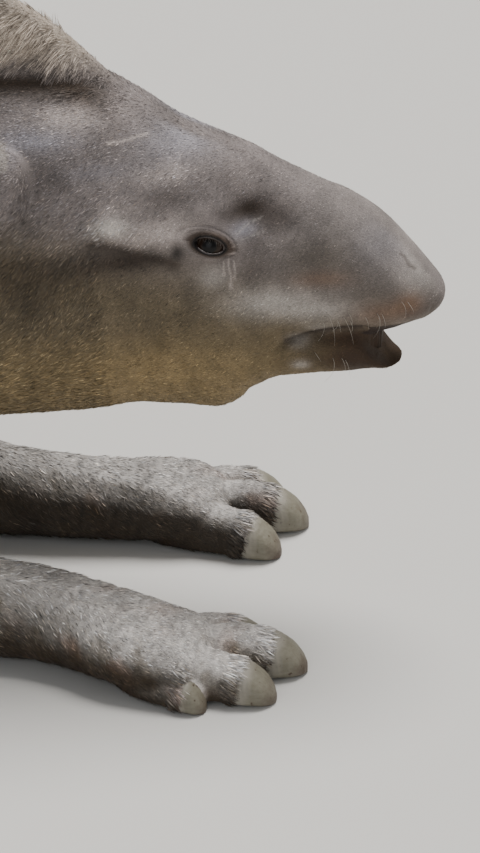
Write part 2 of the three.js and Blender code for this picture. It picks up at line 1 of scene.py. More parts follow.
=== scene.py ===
# A lowland tapir lying on its belly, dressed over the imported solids: one skin, a coat of mesh tufts,
# crest hair, eyes with lids, hooves and whiskers. Metres, +X to the snout, +Y to the animal's left.
import bmesh
import bpy
import numpy as np
from math import radians, cos, sin, pi
from mathutils.bvhtree import BVHTree
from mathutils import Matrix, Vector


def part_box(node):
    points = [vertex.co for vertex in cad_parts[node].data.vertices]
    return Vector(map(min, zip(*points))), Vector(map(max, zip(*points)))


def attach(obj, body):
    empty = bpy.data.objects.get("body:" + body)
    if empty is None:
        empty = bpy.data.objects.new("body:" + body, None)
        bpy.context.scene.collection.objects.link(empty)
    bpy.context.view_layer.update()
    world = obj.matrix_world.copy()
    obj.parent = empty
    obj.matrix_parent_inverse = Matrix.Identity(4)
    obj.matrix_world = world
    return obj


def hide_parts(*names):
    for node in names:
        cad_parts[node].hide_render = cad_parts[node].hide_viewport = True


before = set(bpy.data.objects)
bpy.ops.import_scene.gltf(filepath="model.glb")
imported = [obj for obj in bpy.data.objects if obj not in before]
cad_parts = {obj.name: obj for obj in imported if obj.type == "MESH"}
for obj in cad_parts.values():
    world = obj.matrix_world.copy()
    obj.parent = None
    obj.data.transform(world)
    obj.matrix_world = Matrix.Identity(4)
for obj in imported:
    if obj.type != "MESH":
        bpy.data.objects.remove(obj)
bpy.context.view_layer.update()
draw = np.random.default_rng(11)

# The tables below are in millimetres, from a line 367 mm behind the tip of the snout;
# this shift carries them into the frame.
snoutTip = 0.367
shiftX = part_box("head")[1].x - snoutTip


def toFrame(points):
    return np.asarray(points, float) * 0.001 + np.array([shiftX, 0, 0])


def toTable(points):
    return (np.asarray(points, float) - np.array([shiftX, 0, 0])) * 1000


# Camera, light and floor

photoView = {
    "azimuth": 7,
    "elevation": 28,
    "aim": (198.5, -11.6, 178.9),
    "distance": 4.0,
    "frameHeight": 0.711,  # metres from the photograph's top edge to its bottom, at the aim
}


def makeCamera():
    a, e = radians(photoView["azimuth"]), radians(photoView["elevation"])
    back = np.array([sin(a) * cos(e), -cos(a) * cos(e), sin(e)])
    data = bpy.data.cameras.new("camera")
    data.lens = 36 * photoView["distance"] / photoView["frameHeight"]
    data.clip_end = 50
    camera = bpy.data.objects.new("camera", data)
    camera.location = toFrame(photoView["aim"]) + back * photoView["distance"]
    camera.rotation_euler = (pi / 2 - e, 0, a)
    bpy.context.scene.collection.objects.link(camera)
    bpy.context.scene.camera = camera


studio = {
    # direction that each broad light comes from, how wide it looks in degrees, its strength and colour
    "key": {"from": (0.16, 0.30, 0.94), "wide": 34, "strength": 4.7, "colour": (1.0, 0.975, 0.94)},
    "fill": {"from": (-0.05, -0.92, 0.40), "wide": 50, "strength": 0.72, "colour": (0.95, 0.975, 1.0)},
    "front": {"from": (0.88, -0.12, 0.44), "wide": 40, "strength": 0.6, "colour": (1.0, 0.98, 0.95)},
    "sky": (0.78, 0.79, 0.80),
    "skyStrength": 0.34,
    "floor": (0.56, 0.55, 0.53),
}


def makeLights():
    for name in ("key", "fill", "front"):
        lamp = studio[name]
        data = bpy.data.lights.new(name, "SUN")
        data.angle = radians(lamp["wide"])
        data.energy = lamp["strength"]
        data.color = lamp["colour"]
        obj = bpy.data.objects.new(name, data)
        obj.location = np.array(lamp["from"]) * 4
        obj.rotation_euler = Vector(-np.array(lamp["from"])).to_track_quat("-Z", "Y").to_euler()
        bpy.context.scene.collection.objects.link(obj)
    world = bpy.data.worlds.new("studio")
    world.use_nodes = True
    sky = world.node_tree.nodes["Background"]
    sky.inputs["Color"].default_value = (*studio["sky"], 1)
    sky.inputs["Strength"].default_value = studio["skyStrength"]
    bpy.context.scene.world = world


# Shader helpers: a socket with arithmetic, and one way to add a node


class Value:
    def __init__(self, finish, socket):
        self.finish, self.socket = finish, socket

    def maths(self, operation, other, flip=False):
        pair = (other, self) if flip else (self, other)
        return self.finish.add("ShaderNodeMath", {"operation": operation}, {0: pair[0], 1: pair[1]})

    def __add__(self, other):
        return self.maths("ADD", other)

    def __radd__(self, other):
        return self.maths("ADD", other, True)

    def __sub__(self, other):
        return self.maths("SUBTRACT", other)

    def __rsub__(self, other):
        return self.maths("SUBTRACT", other, True)

    def __mul__(self, other):
        return self.maths("MULTIPLY", other)

    def __rmul__(self, other):
        return self.maths("MULTIPLY", other, True)

    def __truediv__(self, other):
        return self.maths("DIVIDE", other)

    def __pow__(self, other):
        return self.maths("POWER", other)


# One material: its nodes, and the sockets of its shader
class Finish:
    def __init__(self, name):
        self.material = bpy.data.materials.new(name)
        self.material.use_nodes = True
        self.tree = self.material.node_tree
        self.shader = self.tree.nodes["Principled BSDF"]

    def add(self, kind, settings, inputs, output=0):
        node = self.tree.nodes.new(kind)
        for key, value in settings.items():
            if key == "stops":
                ramp = node.color_ramp
                while len(ramp.elements) < len(value):
                    ramp.elements.new(0.5)
                for element, (at, colour) in zip(ramp.elements, value):
                    element.position = at
                    element.color = (*colour, 1)
            else:
                setattr(node, key, value)
        for key, value in inputs.items():
            if isinstance(value, Value):
                self.tree.links.new(value.socket, node.inputs[key])
            else:
                node.inputs[key].default_value = value
        return Value(self, node.outputs[output])

    def set(self, **inputs):
        for key, value in inputs.items():
            socket = self.shader.inputs[key.replace("_", " ")]
            if isinstance(value, Value):
                self.tree.links.new(value.socket, socket)
            else:
                socket.default_value = value

    # Object coordinates, stretched and turned
    def place(self, scale=(1, 1, 1), turn=(0, 0, 0)):
        spot = self.add("ShaderNodeTexCoord", {}, {}, 3)
        return self.add("ShaderNodeMapping", {}, {"Vector": spot, "Scale": scale, "Rotation": turn})

    def noise(self, vector, scale, detail=3.0, roughness=0.55):
        inputs = {"Vector": vector, "Scale": scale, "Detail": detail, "Roughness": roughness}
        return self.add("ShaderNodeTexNoise", {}, inputs)

    def attribute(self, name, output):
        return self.add("ShaderNodeAttribute", {"attribute_name": name}, {}, output)

    # Two colours, each a socket or a plain colour
    def mix(self, factor, a, b, blend="MIX"):
        a, b = (c if isinstance(c, Value) else (*c, 1) for c in (a, b))
        settings = {"data_type": "RGBA", "blend_type": blend}
        return self.add("ShaderNodeMix", settings, {0: factor, 6: a, 7: b}, 2)

    # The painted colour of markings, painted highlight and painted shade, made darker or lighter by a shade
    def marked(self, shade):
        grey = self.add("ShaderNodeCombineColor", {}, {0: shade, 1: shade, 2: shade})
        return self.mix(1.0, self.attribute("marking", 0), grey, "MULTIPLY")

    def bump(self, height, strength, distance, normal=None):
        inputs = {"Height": height, "Strength": strength, "Distance": distance}
        if normal is not None:
            inputs["Normal"] = normal
        return self.add("ShaderNodeBump", {}, inputs)


# Number helpers


# A screen colour, 0 to 255, on light's own scale
def linear(*rgb):
    c = np.array(rgb, float) / 255
    return np.where(c <= 0.04045, c / 12.92, ((c + 0.055) / 1.055) ** 2.4)


# Monotone cubic through a table: end slopes are the chords', inner slopes the harmonic mean of both sides
def through(xs, ys, x):
    xs, ys, x = (np.asarray(a, float) for a in (xs, ys, x))
    step = np.diff(xs)
    slope = np.diff(ys) / step
    both = slope[:-1] * slope[1:]
    total = np.where(both > 0, slope[:-1] + slope[1:], 1)
    tangent = np.concatenate([slope[:1], np.where(both > 0, 2 * both / total, 0), slope[-1:]])
    i = np.clip(np.searchsorted(xs, x, side="right") - 1, 0, len(xs) - 2)
    t = np.clip((x - xs[i]) / step[i], 0, 1)
    near, far = (1 - t) ** 2, t * t
    return (
        ys[i] * (1 + 2 * t) * near
        + tangent[i] * step[i] * t * near
        + ys[i + 1] * (3 - 2 * t) * far
        + tangent[i + 1] * step[i] * (t - 1) * far
    )


# 0 below low, 1 above high, and smooth between
def ease(low, high, x):
    t = np.clip((x - low) / (high - low), 0, 1)
    return t * t * (3 - 2 * t)


def unit(v):
    return v / np.maximum(np.linalg.norm(v, axis=-1, keepdims=True), 1e-12)


# A point given for the animal's left, on the side wanted: 1 is left and -1 is right
def sided(point, side):
    return np.array(point) * [1, side, 1]


# The larger of two heights, rounded off where they differ by less than blend
def softMax(a, b, blend):
    return np.maximum(a, b) + blend / 4 * np.clip(1 - np.abs(a - b) / blend, 0, 1) ** 2


# Rounded section: cosine and sine raised to 2/power, so power 2 is an ellipse and more is squarer
def rounded(angle, power):
    c, s = np.cos(angle), np.sin(angle)
    return np.sign(c) * np.abs(c) ** (2 / power), np.sign(s) * np.abs(s) ** (2 / power)


# Soft uneven field: five sine waves in turned directions, summed
def uneven(p, length, seed=0):
    total = 0
    for k in range(5):
        turn = seed + 2.4 * k
        direction = np.array([cos(turn), sin(turn) * cos(1.7 * k + seed), sin(turn) * sin(1.7 * k + seed)])
        total = total + np.sin(p @ direction * (2 * pi / length) * (0.7 + 0.22 * k) + 4.1 * k + seed)
    return total / 5


# Distance from each point to a broken line: the least of the distances to its straight pieces
def nearLine(p, line):
    line = np.asarray(line, float)
    best = np.full(len(p), 1e9)
    for a, b in zip(line[:-1], line[1:]):
        ab = b - a
        t = np.clip(((p - a) @ ab) / (ab @ ab), 0, 1)
        best = np.minimum(best, np.linalg.norm(p - a - t[:, None] * ab, axis=1))
    return best


# Four-sided faces between rings that have the same number of sides
def gridFaces(rings, sides):
    i, j = np.meshgrid(np.arange(rings - 1), np.arange(sides), indexing="ij")
    k = (j + 1) % sides
    corners = [i * sides + j, i * sides + k, (i + 1) * sides + k, (i + 1) * sides + j]
    return np.stack(corners, -1).reshape(-1, 4)


def addMesh(name, verts, faces):
    mesh = bpy.data.meshes.new(name)
    mesh.from_pydata(verts.tolist(), [], faces)
    mesh.validate()
    obj = bpy.data.objects.new(name, mesh)
    bpy.context.scene.collection.objects.link(obj)
    return obj


# A tube: rings of points joined in turn, with a fan from each end ring to its middle
def tube(name, rings):
    count, sides = rings.shape[:2]
    verts = np.concatenate([rings.reshape(-1, 3), rings[0].mean(0)[None], rings[-1].mean(0)[None]])
    faces = gridFaces(count, sides).tolist()
    first, last = count * sides, count * sides + 1
    for j in range(sides):
        k = (j + 1) % sides
        faces.append([first, k, j])
        faces.append([last, first - sides + j, first - sides + k])
    return addMesh(name, toFrame(verts), faces)


def joined(name, objects):
    with bpy.context.temp_override(active_object=objects[0], selected_editable_objects=objects):
        bpy.ops.object.join()
    objects[0].name = objects[0].data.name = name
    return objects[0]


# The object with its modifiers worked into its mesh
def applied(obj):
    graph = bpy.context.evaluated_depsgraph_get()
    mesh = bpy.data.meshes.new_from_object(obj.evaluated_get(graph))
    obj.modifiers.clear()
    obj.data = mesh
    return obj


def smoothShaded(obj):
    obj.data.polygons.foreach_set("use_smooth", np.ones(len(obj.data.polygons), bool))


# One number at each point of the mesh, for its material to read
def addLayer(mesh, name, values):
    layer = mesh.attributes.new(name, "FLOAT", "POINT")
    layer.data.foreach_set("value", values)


# The body's forms

body = {
    # x, top, bottom, half width, level of the widest place, power above it, power below it
    "sections": np.array([
        (-1412, 296, 246, 26, 0.5, 2, 2),
        (-1404, 344, 186, 66, 0.5, 2, 2),
        (-1380, 390, 110, 104, 0.5, 2, 2),
        (-1320, 434, 40, 148, 0.48, 2, 2.2),
        (-1230, 462, -2, 182, 0.46, 2, 2.5),
        (-1100, 474, -6, 210, 0.43, 2, 2.8),
        (-950, 466, -8, 232, 0.4, 2, 2.9),
        (-780, 456, -8, 238, 0.39, 2, 2.9),
        (-600, 462, -7, 222, 0.4, 2, 2.8),
        (-450, 478, -6, 196, 0.42, 1.9, 2.6),
        (-340, 490, 0, 172, 0.45, 1.8, 2.4),
        (-260, 502, 34, 150, 0.5, 1.8, 2.2),
        (-190, 512, 92, 131, 0.53, 1.8, 2.1),
        (-120, 516, 140, 113, 0.56, 1.9, 2),
        (-50, 508, 166, 96, 0.58, 2, 2),
        (10, 499, 175, 88, 0.6, 2.1, 1.9),
        (60, 494, 181, 85, 0.62, 2.1, 1.8),
        (92, 484, 187, 82, 0.63, 2.1, 1.8),
        (116, 471, 192, 78, 0.63, 2.1, 1.8),
        (146, 453, 192, 71, 0.63, 2.2, 1.8),
        (178, 441, 191, 64, 0.62, 2.2, 1.9),
        (200, 433, 203, 60, 0.58, 2.2, 2.1),
        (220, 424, 240, 56, 0.5, 2.1, 2.6),
        (240, 415, 262, 52, 0.47, 2, 3),
        (262, 406, 266, 48, 0.45, 2, 3.2),
        (284, 397, 268, 45, 0.45, 2, 3.2),
        (301, 388, 271, 42, 0.45, 2, 3),
        (320, 373, 275, 38, 0.45, 2, 2.6),
        (338, 353, 281, 33, 0.45, 2, 2.2),
        (352, 336, 286, 27, 0.47, 2, 2),
        (362, 324, 294, 19, 0.5, 2, 2),
        (367, 315, 303, 9, 0.5, 2, 2),
    ], float),
    "crest": np.array([
        (-470, 480, 400, 16, 0.5, 2, 2),
        (-380, 498, 400, 26, 0.5, 2, 2),
        (-300, 520, 410, 36, 0.5, 2, 2),
        (-220, 546, 420, 44, 0.5, 2, 2),
        (-140, 566, 430, 47, 0.5, 2, 2),
        (-70, 575, 430, 45, 0.5, 2, 2),
        (-4, 564, 430, 40, 0.5, 2, 2),
        (24, 552, 430, 37, 0.5, 2, 2),
        (55, 530, 425, 34, 0.5, 2, 2),
        (85, 503, 415, 30, 0.5, 2, 2),
        (116, 475, 405, 25, 0.5, 2, 2),
        (140, 452, 400, 18, 0.5, 2, 2),
    ], float),
    "jaw": np.array([
        (150, 280, 216, 34, 0.55, 2.6, 2),
        (182, 280, 207, 40, 0.55, 2.6, 2),
        (206, 288, 214, 48, 0.55, 2.8, 2),
        (236, 289, 230, 49, 0.55, 3.2, 2),
        (270, 288, 234, 44.5, 0.55, 3.4, 2),
        (296, 285, 237, 40, 0.55, 3.4, 2),
        (307, 278, 239, 36, 0.58, 3.2, 2),
        (319, 269, 242, 29, 0.6, 2.8, 2),
        (328, 263, 247, 19, 0.55, 2.2, 2),
        (333, 258, 253, 8, 0.5, 2, 2),
    ], float),
    "coatDepth": 2.2,
    "crestHair": 9,
}


# Upright section at x: the two half widths up and down are powers of sine and cosine about the widest level
def uprightRings(table, xs, sides, inset):
    columns = [through(table[:, 0], table[:, k], xs)[:, None] for k in range(1, 7)]
    top, bottom, half, level, upper, lower = columns
    top, bottom, half = top - inset, bottom + inset, np.maximum(half - inset, 2)
    middle = bottom + (top - bottom) * level
    angle = np.linspace(0, 2 * pi, sides, endpoint=False)[None, :]
    up = np.sin(angle) >= 0
    across, rise = rounded(angle, np.where(up, upper, lower))
    z = middle + rise * np.where(up, top - middle, middle - bottom)
    x = np.broadcast_to(xs[:, None], z.shape)
    return np.stack([x, half * across, z], -1)


limbs = {
    # x, y, z of the centre, half width, half height, for the right side
    "upperForeleg": [
        (-412, -112, 400, 22, 30),
        (-362, -138, 340, 38, 58),
        (-312, -156, 264, 50, 76),
        (-278, -164, 190, 54, 76),
        (-262, -166, 128, 52, 66),
        (-258, -164, 84, 46, 50),
        (-256, -162, 58, 26, 28),
    ],
    "forelegRight": [
        (-312, -160, 50, 34, 36),
        (-262, -158, 58, 52, 60),
        (-180, -144, 56, 50, 57),
        (-90, -118, 49, 42, 48),
        (-20, -98, 43, 40, 44),
        (32, -99, 40, 41, 41),
        (80, -111, 37, 42, 38),
        (128, -126, 33, 50, 34),
        (166, -132, 28, 50, 29),
        (184, -134, 22, 36, 20),
    ],
    "forelegLeft": [
        (-312, 160, 50, 34, 36),
        (-262, 158, 58, 52, 60),
        (-180, 146, 56, 50, 57),
        (-90, 122, 49, 42, 48),
        (-20, 104, 42, 38, 41),
        (32, 105, 39, 37, 38),
        (80, 110, 36, 39, 36),
        (118, 120, 33, 48, 33),
        (148, 128, 28, 50, 28),
        (166, 132, 22, 36, 20),
    ],
    "thigh": [
        (-1300, -92, 384, 34, 44),
        (-1246, -126, 330, 64, 98),
        (-1165, -160, 260, 80, 128),
        (-1080, -186, 204, 80, 118),
        (-998, -206, 162, 68, 92),
        (-934, -214, 138, 48, 58),
        (-904, -216, 128, 22, 26),
    ],
    "shank": [
        (-965, -216, 112, 40, 40),
        (-1030, -226, 100, 50, 52),
        (-1120, -232, 80, 46, 50),
        (-1205, -228, 62, 36, 42),
        (-1262, -222, 48, 32, 38),
        (-1292, -220, 42, 18, 20),
    ],
    "hindFoot": [
        (-1296, -224, 30, 22, 24),
        (-1264, -230, 32, 32, 33),
        (-1200, -246, 30, 32, 31),
        (-1120, -262, 30, 34, 31),
        (-1050, -272, 30, 40, 31),
        (-1000, -278, 28, 46, 29),
        (-976, -280, 22, 32, 18),
    ],
    "tail": [
        (-1372, 0, 398, 26, 26),
        (-1408, 0, 372, 25, 24),
        (-1434, 0, 336, 20, 19),
        (-1446, 0, 300, 14, 13),
        (-1449, 0, 284, 6, 6),
    ],
}


# Section square to a smooth path: across is the frame's Y made square to the path, up is square to both
def limbRings(stations, steps=70, sides=40, inset=2.0, side=1):
    s = np.array(stations, float) * np.array([1, side, 1, 1, 1])
    lengths = np.concatenate([[0], np.cumsum(np.linalg.norm(np.diff(s[:, :3], axis=0), axis=1))])
    t = np.linspace(0, lengths[-1], steps)
    centre = np.stack([through(lengths, s[:, k], t) for k in range(3)], -1)
    along = unit(np.gradient(centre, axis=0))
    across = unit(np.array([0, 1, 0]) - along * along[:, 1:2])
    up = np.cross(along, across)
    wide = through(lengths, s[:, 3], t) - inset
    tall = through(lengths, s[:, 4], t) - inset
    a, b = rounded(np.linspace(0, 2 * pi, sides, endpoint=False), 2.2)
    return (
        centre[:, None]
        + across[:, None] * (a[None, :] * wide[:, None])[..., None]
        + up[:, None] * (b[None, :] * tall[:, None])[..., None]
    )


toes = {
    # root x, root y, tip x, tip y, half width, height
    "foreRight": [
        (142, -92, 230, -66, 16, 38),
        (158, -118, 266, -100, 21, 46),
        (146, -148, 246, -153, 20, 43),
        (132, -158, 190, -178, 14, 34),
    ],
    "foreLeft": [
        (126, 100, 222, 88, 20, 43),
        (138, 130, 240, 146, 21, 46),
        (120, 154, 216, 186, 19, 42),
        (88, 158, 150, 198, 13, 34),
    ],
    "hindRight": [
        (-1008, -252, -918, -244, 17.5, 42),
        (-1000, -280, -896, -282, 20.5, 48),
        (-1012, -306, -922, -322, 17.5, 42),
    ],
    # share of the length, half width, top, lift of the sole
    "outline": np.array([
        (-0.34, 0.3, 0.7, 0.45),
        (0, 0.84, 0.88, 0),
        (0.45, 1, 1, 0),
        (0.7, 0.99, 0.86, 0),
        (0.88, 0.84, 0.6, 0),
        (0.97, 0.5, 0.34, 0),
        (1, 0.2, 0.18, 0),
    ]),
    "inset": -1.1,
    "hoofStart": 0.68,
    "hoofSlant": -0.1,
}
toes["hindLeft"] = [(x, -y, tipX, -tipY, *size) for x, y, tipX, tipY, *size in toes["hindRight"]]
allToes = [toe for foot in ("foreRight", "foreLeft", "hindRight", "hindLeft") for toe in toes[foot]]


# Share of the toe's length where the horn begins, by the height up the toe from 0 to 1
def cuticle(rise):
    return toes["hoofStart"] + toes["hoofSlant"] * (1 - rise)


# Toe point at share u and angle v: an ellipse above, a squarer half below, on the floor along the sole
def toePoint(toe, u, angle, grow=0.0):
    rootX, rootY, tipX, tipY, half, height = toe
    outline = toes["outline"]
    along = np.array([tipX - rootX, tipY - rootY, 0.0])
    across = np.cross([0, 0, 1], unit(along))
    wide = half * through(outline[:, 0], outline[:, 1], u) + grow
    top = height * through(outline[:, 0], outline[:, 2], u) + grow
    lift = through(outline[:, 0], outline[:, 3], u)
    a, b = rounded(angle, np.where(np.sin(angle) >= 0, 2.2, 3.2))
    middle = top * 0.4
    z = middle + b * np.where(b >= 0, top - middle, middle * (1 - lift))
    point = np.array([rootX, rootY, 0.0]) + u[..., None] * along
    point = point + (a * wide)[..., None] * across
    return np.concatenate([point[..., :2], z[..., None]], -1)


ears = {
    "base": (2, 74, 406),
    "length": 118,
    "halfWidth": 37,
    "along": (-0.86, 0.36, 0.37),
    "mouth": (0.28, 0.9, -0.3),
    # share of the length, width, back's depth, depth of the cup
    "profile": np.array([
        (-0.28, 0.5, 0.4, -0.4),
        (-0.16, 1.02, 0.7, -0.7),
        (0, 1.28, 0.9, -0.8),
        (0.12, 1.28, 0.92, -0.46),
        (0.24, 1.2, 0.86, 0.1),
        (0.36, 1.14, 0.8, 0.52),
        (0.54, 1.06, 0.7, 0.55),
        (0.74, 0.88, 0.52, 0.38),
        (0.89, 0.58, 0.32, 0.2),
        (1, 0.14, 0.1, -0.02),
    ]),
}


def earAxes(side):
    along = unit(sided(ears["along"], side))
    mouth = sided(ears["mouth"], side)
    mouth = unit(mouth - along * (mouth @ along))
    return along, mouth, np.cross(along, mouth)


# Ear: a crescent section, back arc and cup arc both cosines, carried along the ear's axis
def earRings(side, steps=44, arc=22):
    along, mouth, across = earAxes(side)
    base = sided(ears["base"], side)
    profile = ears["profile"]
    t = np.linspace(profile[0, 0], profile[-1, 0], steps)
    width, back, hollow = (through(profile[:, 0], profile[:, k], t)[:, None] for k in (1, 2, 3))
    angle = np.linspace(-pi / 2, pi / 2, arc)[None, :]
    half = ears["halfWidth"]
    outer = np.sin(angle) * width * half, -back * np.cos(angle) * half
    inner = np.sin(-angle) * width * half, -hollow * np.cos(angle) * half + 1.5
    across2 = np.concatenate([outer[0], inner[0]], 1)
    depth = np.concatenate([outer[1], inner[1]], 1)
    centre = base + along * (t * ears["length"])[:, None]
    return centre[:, None] + across * across2[..., None] + mouth * depth[..., None]


# Every fleshy form as a closed tube, ready to be fused
def makeForms():
    inset = body["coatDepth"]
    stations = np.concatenate([np.linspace(-1412, -400, 90), np.linspace(-390, 367, 190)])
    forms = [
        tube("core", uprightRings(body["sections"], stations, 110, inset)),
        tube("crest", uprightRings(body["crest"], np.linspace(-470, 140, 90), 40, body["crestHair"])),
        tube("jaw", uprightRings(body["jaw"], np.linspace(150, 333, 70), 60, inset)),
        tube("tail", limbRings(limbs["tail"], 40)),
        tube("forelegRight", limbRings(limbs["forelegRight"], 120)),
        tube("forelegLeft", limbRings(limbs["forelegLeft"], 120)),
    ]
    for side in (1, -1):
        for name in ("upperForeleg", "thigh", "shank", "hindFoot"):
            forms.append(tube(name, limbRings(limbs[name], side=side)))
        forms.append(tube("ear", earRings(side)))
    u = np.linspace(-0.34, 1, 40)[:, None]
    angle = np.linspace(0, 2 * pi, 28, endpoint=False)[None, :]
    u, angle = np.broadcast_arrays(u, angle)
    for toe in allToes:
        forms.append(tube("toe", toePoint(toe, u, angle, toes["inset"])))
    return forms


fusing = {
    "voxel": 0.0026,
    "smoothing": 10,
    "skinTriangles": 190000,
    "quickTriangles": 90000,
    "floorGap": 0.8,
    "floorBlend": 4.0,  # how softly the sole turns into the flat on the floor
}


def meshArrays(mesh):
    count = len(mesh.vertices)
    points = np.empty(count * 3)
    mesh.vertices.foreach_get("co", points)
    normals = np.empty(count * 3)
    mesh.vertices.foreach_get("normal", normals)
    return points.reshape(-1, 3), normals.reshape(-1, 3)


# How fine a place's mesh stays: 1 on the head, middling on the forefeet and neck, least on the trunk
def detailWanted(p):
    head = ease(-90, -20, p[:, 0]) * ease(120, 150, p[:, 2])
    feet = ease(0, 60, p[:, 0]) * 0.6
    neck = ease(-320, -120, p[:, 0]) * 0.35
    return np.maximum(np.maximum(head, feet), neck)


eyes = {
    "centre": (179, 52, 366),
    "radius": 13,
    "outward": (0.1, 0.95, 0.3),
    "tilt": -0.22,  # the slit falls towards the snout
    "halfLength": 12.2,
    "openAbove": 7.2,
    "openBelow": 6.4,
    "lid": 2.6,
    "corneaRise": 0.7,
    "blend": 3.0,  # how softly the lids' shell meets the face
}


# The eye's own axes: along the slit towards the snout, up across it, and outward
def eyeAxes(side):
    out = unit(sided(eyes["outward"], side))
    along = np.array([cos(eyes["tilt"]), 0, sin(eyes["tilt"])])
    along = unit(along - out * (along @ out))
    up = np.cross(along, out) * -side
    return along, up * np.sign(up[2]), out


def intoEye(p, side):
    along, up, out = eyeAxes(side)
    offset = p - sided(eyes["centre"], side)
    return offset @ along, offset @ up, offset @ out


# Share of the way from the eye's middle to the slit's rim: an ellipse, taller above than below
def slitShare(a, b):
    height = np.where(b > 0, eyes["openAbove"], eyes["openBelow"])
    return np.hypot(a / eyes["halfLength"], b / height)


# The lids are a shell over the eyeball, blended into the face; inside the slit the skin drops under the ball
def shapeLids(p):
    for side in (1, -1):
        a, b, o = intoEye(p, side)
        near = (np.hypot(a, b) < 34) & (o > -4) & (o < 30)
        a, b, o = a[near], b[near], o[near]
        ball = a * a + b * b
        shell = np.sqrt(np.maximum((eyes["radius"] + eyes["lid"]) ** 2 - ball, 0))
        height = softMax(o, shell, eyes["blend"])
        share = slitShare(a, b)
        above = ease(-2, 3, b)
        height += 1.4 * np.exp(-(((share - 1.5) / 0.3) ** 2)) * above
        for fold, width, depth in ((1.26, 0.06, 0.5), (1.62, 0.08, 0.8), (2.05, 0.12, 1.2)):
            height -= depth * np.exp(-(((share - fold + 0.012 * a) / width) ** 2)) * above
        for fold, width, depth in ((1.32, 0.07, 0.6), (1.6, 0.08, 0.6), (1.95, 0.11, 0.5)):
            height -= depth * np.exp(-(((share - fold - 0.02 * a) / width) ** 2)) * (1 - above)
        under = np.maximum(np.sqrt(np.maximum((eyes["radius"] - 1.6) ** 2 - ball, 0)), o - 4.5)
        height = under + (height - under) * ease(0.9, 1.07, share)
        p[near] += eyeAxes(side)[2] * (height - o)[:, None]
    return p


# Soft spot on the face: a bell curve over x and z
def spot(p, x, z, wide, tall):
    return np.exp(-(((p[:, 0] - x) / wide) ** 2) - ((p[:, 2] - z) / tall) ** 2)


# Soft line on the face: a bell curve over the distance to a broken line in x and z
def mark(p, line, width):
    flat = p * [1, 0, 1]
    return np.exp(-((nearLine(flat, [(x, 0, z) for x, z in line]) / width) ** 2))


face = {
    # points in x and z, width, height of the form; less than nothing is a groove
    "lines": [
        ([(72, 384), (98, 389), (122, 383), (146, 374), (166, 368)], 9, 2.8),
        ([(86, 371), (104, 369), (128, 360), (154, 350)], 6, -3.2),
        ([(34, 352), (60, 360), (86, 368)], 12, -1.2),
        ([(143, 300), (137, 275), (127, 252), (112, 226)], 7, -2.4),
        ([(238, 276), (262, 284), (286, 289), (304, 289)], 3.2, -2.6),
        ([(246, 294), (285, 301), (325, 297), (345, 300)], 8, 1.8),
        ([(240, 268), (285, 272), (318, 266)], 6, 1.2),
        ([(200, 374), (205, 379), (213, 383), (219, 385)], 0.9, -0.4),
        ([(198, 379), (203, 384), (211, 388)], 0.9, -0.3),
        ([(203, 370), (211, 373), (222, 376)], 1.0, -0.35),
        ([(188, 366), (194, 365), (200, 364)], 1.2, -0.9),
        ([(187, 361), (193, 359), (199, 359)], 1.1, -0.7),
        ([(203, 364), (212, 364), (221, 368)], 1.4, -0.4),
        ([(194, 354), (194, 347), (196, 340), (197, 330)], 1.1, -0.35),
        ([(151, 372), (155, 366), (158, 358)], 3.4, -1.6),
        ([(330, 352), (338, 345), (343, 338)], 1.1, -0.5),
        ([(150, 240), (185, 222), (205, 224)], 5, -1.2),
    ],
    # x, z, half width, half height, height of the form
    "spots": [
        (210, 394, 17, 12, -4.4),
        (238, 378, 14, 10, -2.0),
        (194, 364, 6, 5, 1.0),
        (182, 396, 22, 7, 1.8),
        (158, 367, 6, 5, -1.6),
        (90, 300, 42, 34, 3.0),
        (100, 432, 34, 16, -2.2),
        (176, 330, 24, 14, 1.6),
        (270, 330, 34, 20, -1.4),
        (325, 330, 26, 26, 0.8),
        (200, 206, 14, 10, 1.5),
        (40, 250, 40, 26, -2.0),
    ],
    "nostril": {"at": (357, 15, 304), "size": (5.5, 4.5, 7), "depth": 6},
    # the lower lip's front: where it starts to slope down, where it ends, its foot, the share it loses
    "lowerLip": {"from": 297, "to": 326, "foot": 246, "drop": 0.84, "top": 288, "sure": 276},
}


# The face's forms: every line and spot pushes the skin along its normal
def sculptFace(p):
    amount = np.zeros(len(p))
    onSide = ease(8, 26, np.abs(p[:, 1]))
    for line, width, height in face["lines"]:
        amount += mark(p, line, width) * height * onSide
    for x, z, wide, tall, height in face["spots"]:
        amount += spot(p, x, z, wide, tall) * height * onSide
    nostril = face["nostril"]
    for side in (1, -1):
        offset = (p - sided(nostril["at"], side)) / nostril["size"]
        amount -= nostril["depth"] * np.exp(-(offset**2).sum(1) * 1.2)
    return amount * (p[:, 0] > -40) * (p[:, 2] > 140)


# How far the lower lip's front sinks: its height above its foot shrinks by a growing share towards the tip
def lipDrop(p, normals):
    lip = face["lowerLip"]
    onLip = (p[:, 2] < lip["sure"]) | ((p[:, 2] < lip["top"]) & (normals[:, 2] > -0.3))
    onLip &= (np.abs(p[:, 1]) < 36) & (p[:, 2] > lip["foot"])
    return (p[:, 2] - lip["foot"]) * lip["drop"] * ease(lip["from"], lip["to"], p[:, 0]) * onLip


folds = {
    # x of each fold, and their width and depth
    "neck": {"at": (-70, -118, -176, -238), "width": 9, "depth": 2.4},
    "foot": {"at": (58, 72, 90, 112, 134), "width": 2.4, "depth": 0.8},
    "tendonWidth": 3.6,
    "tendonHeight": 0.7,
}


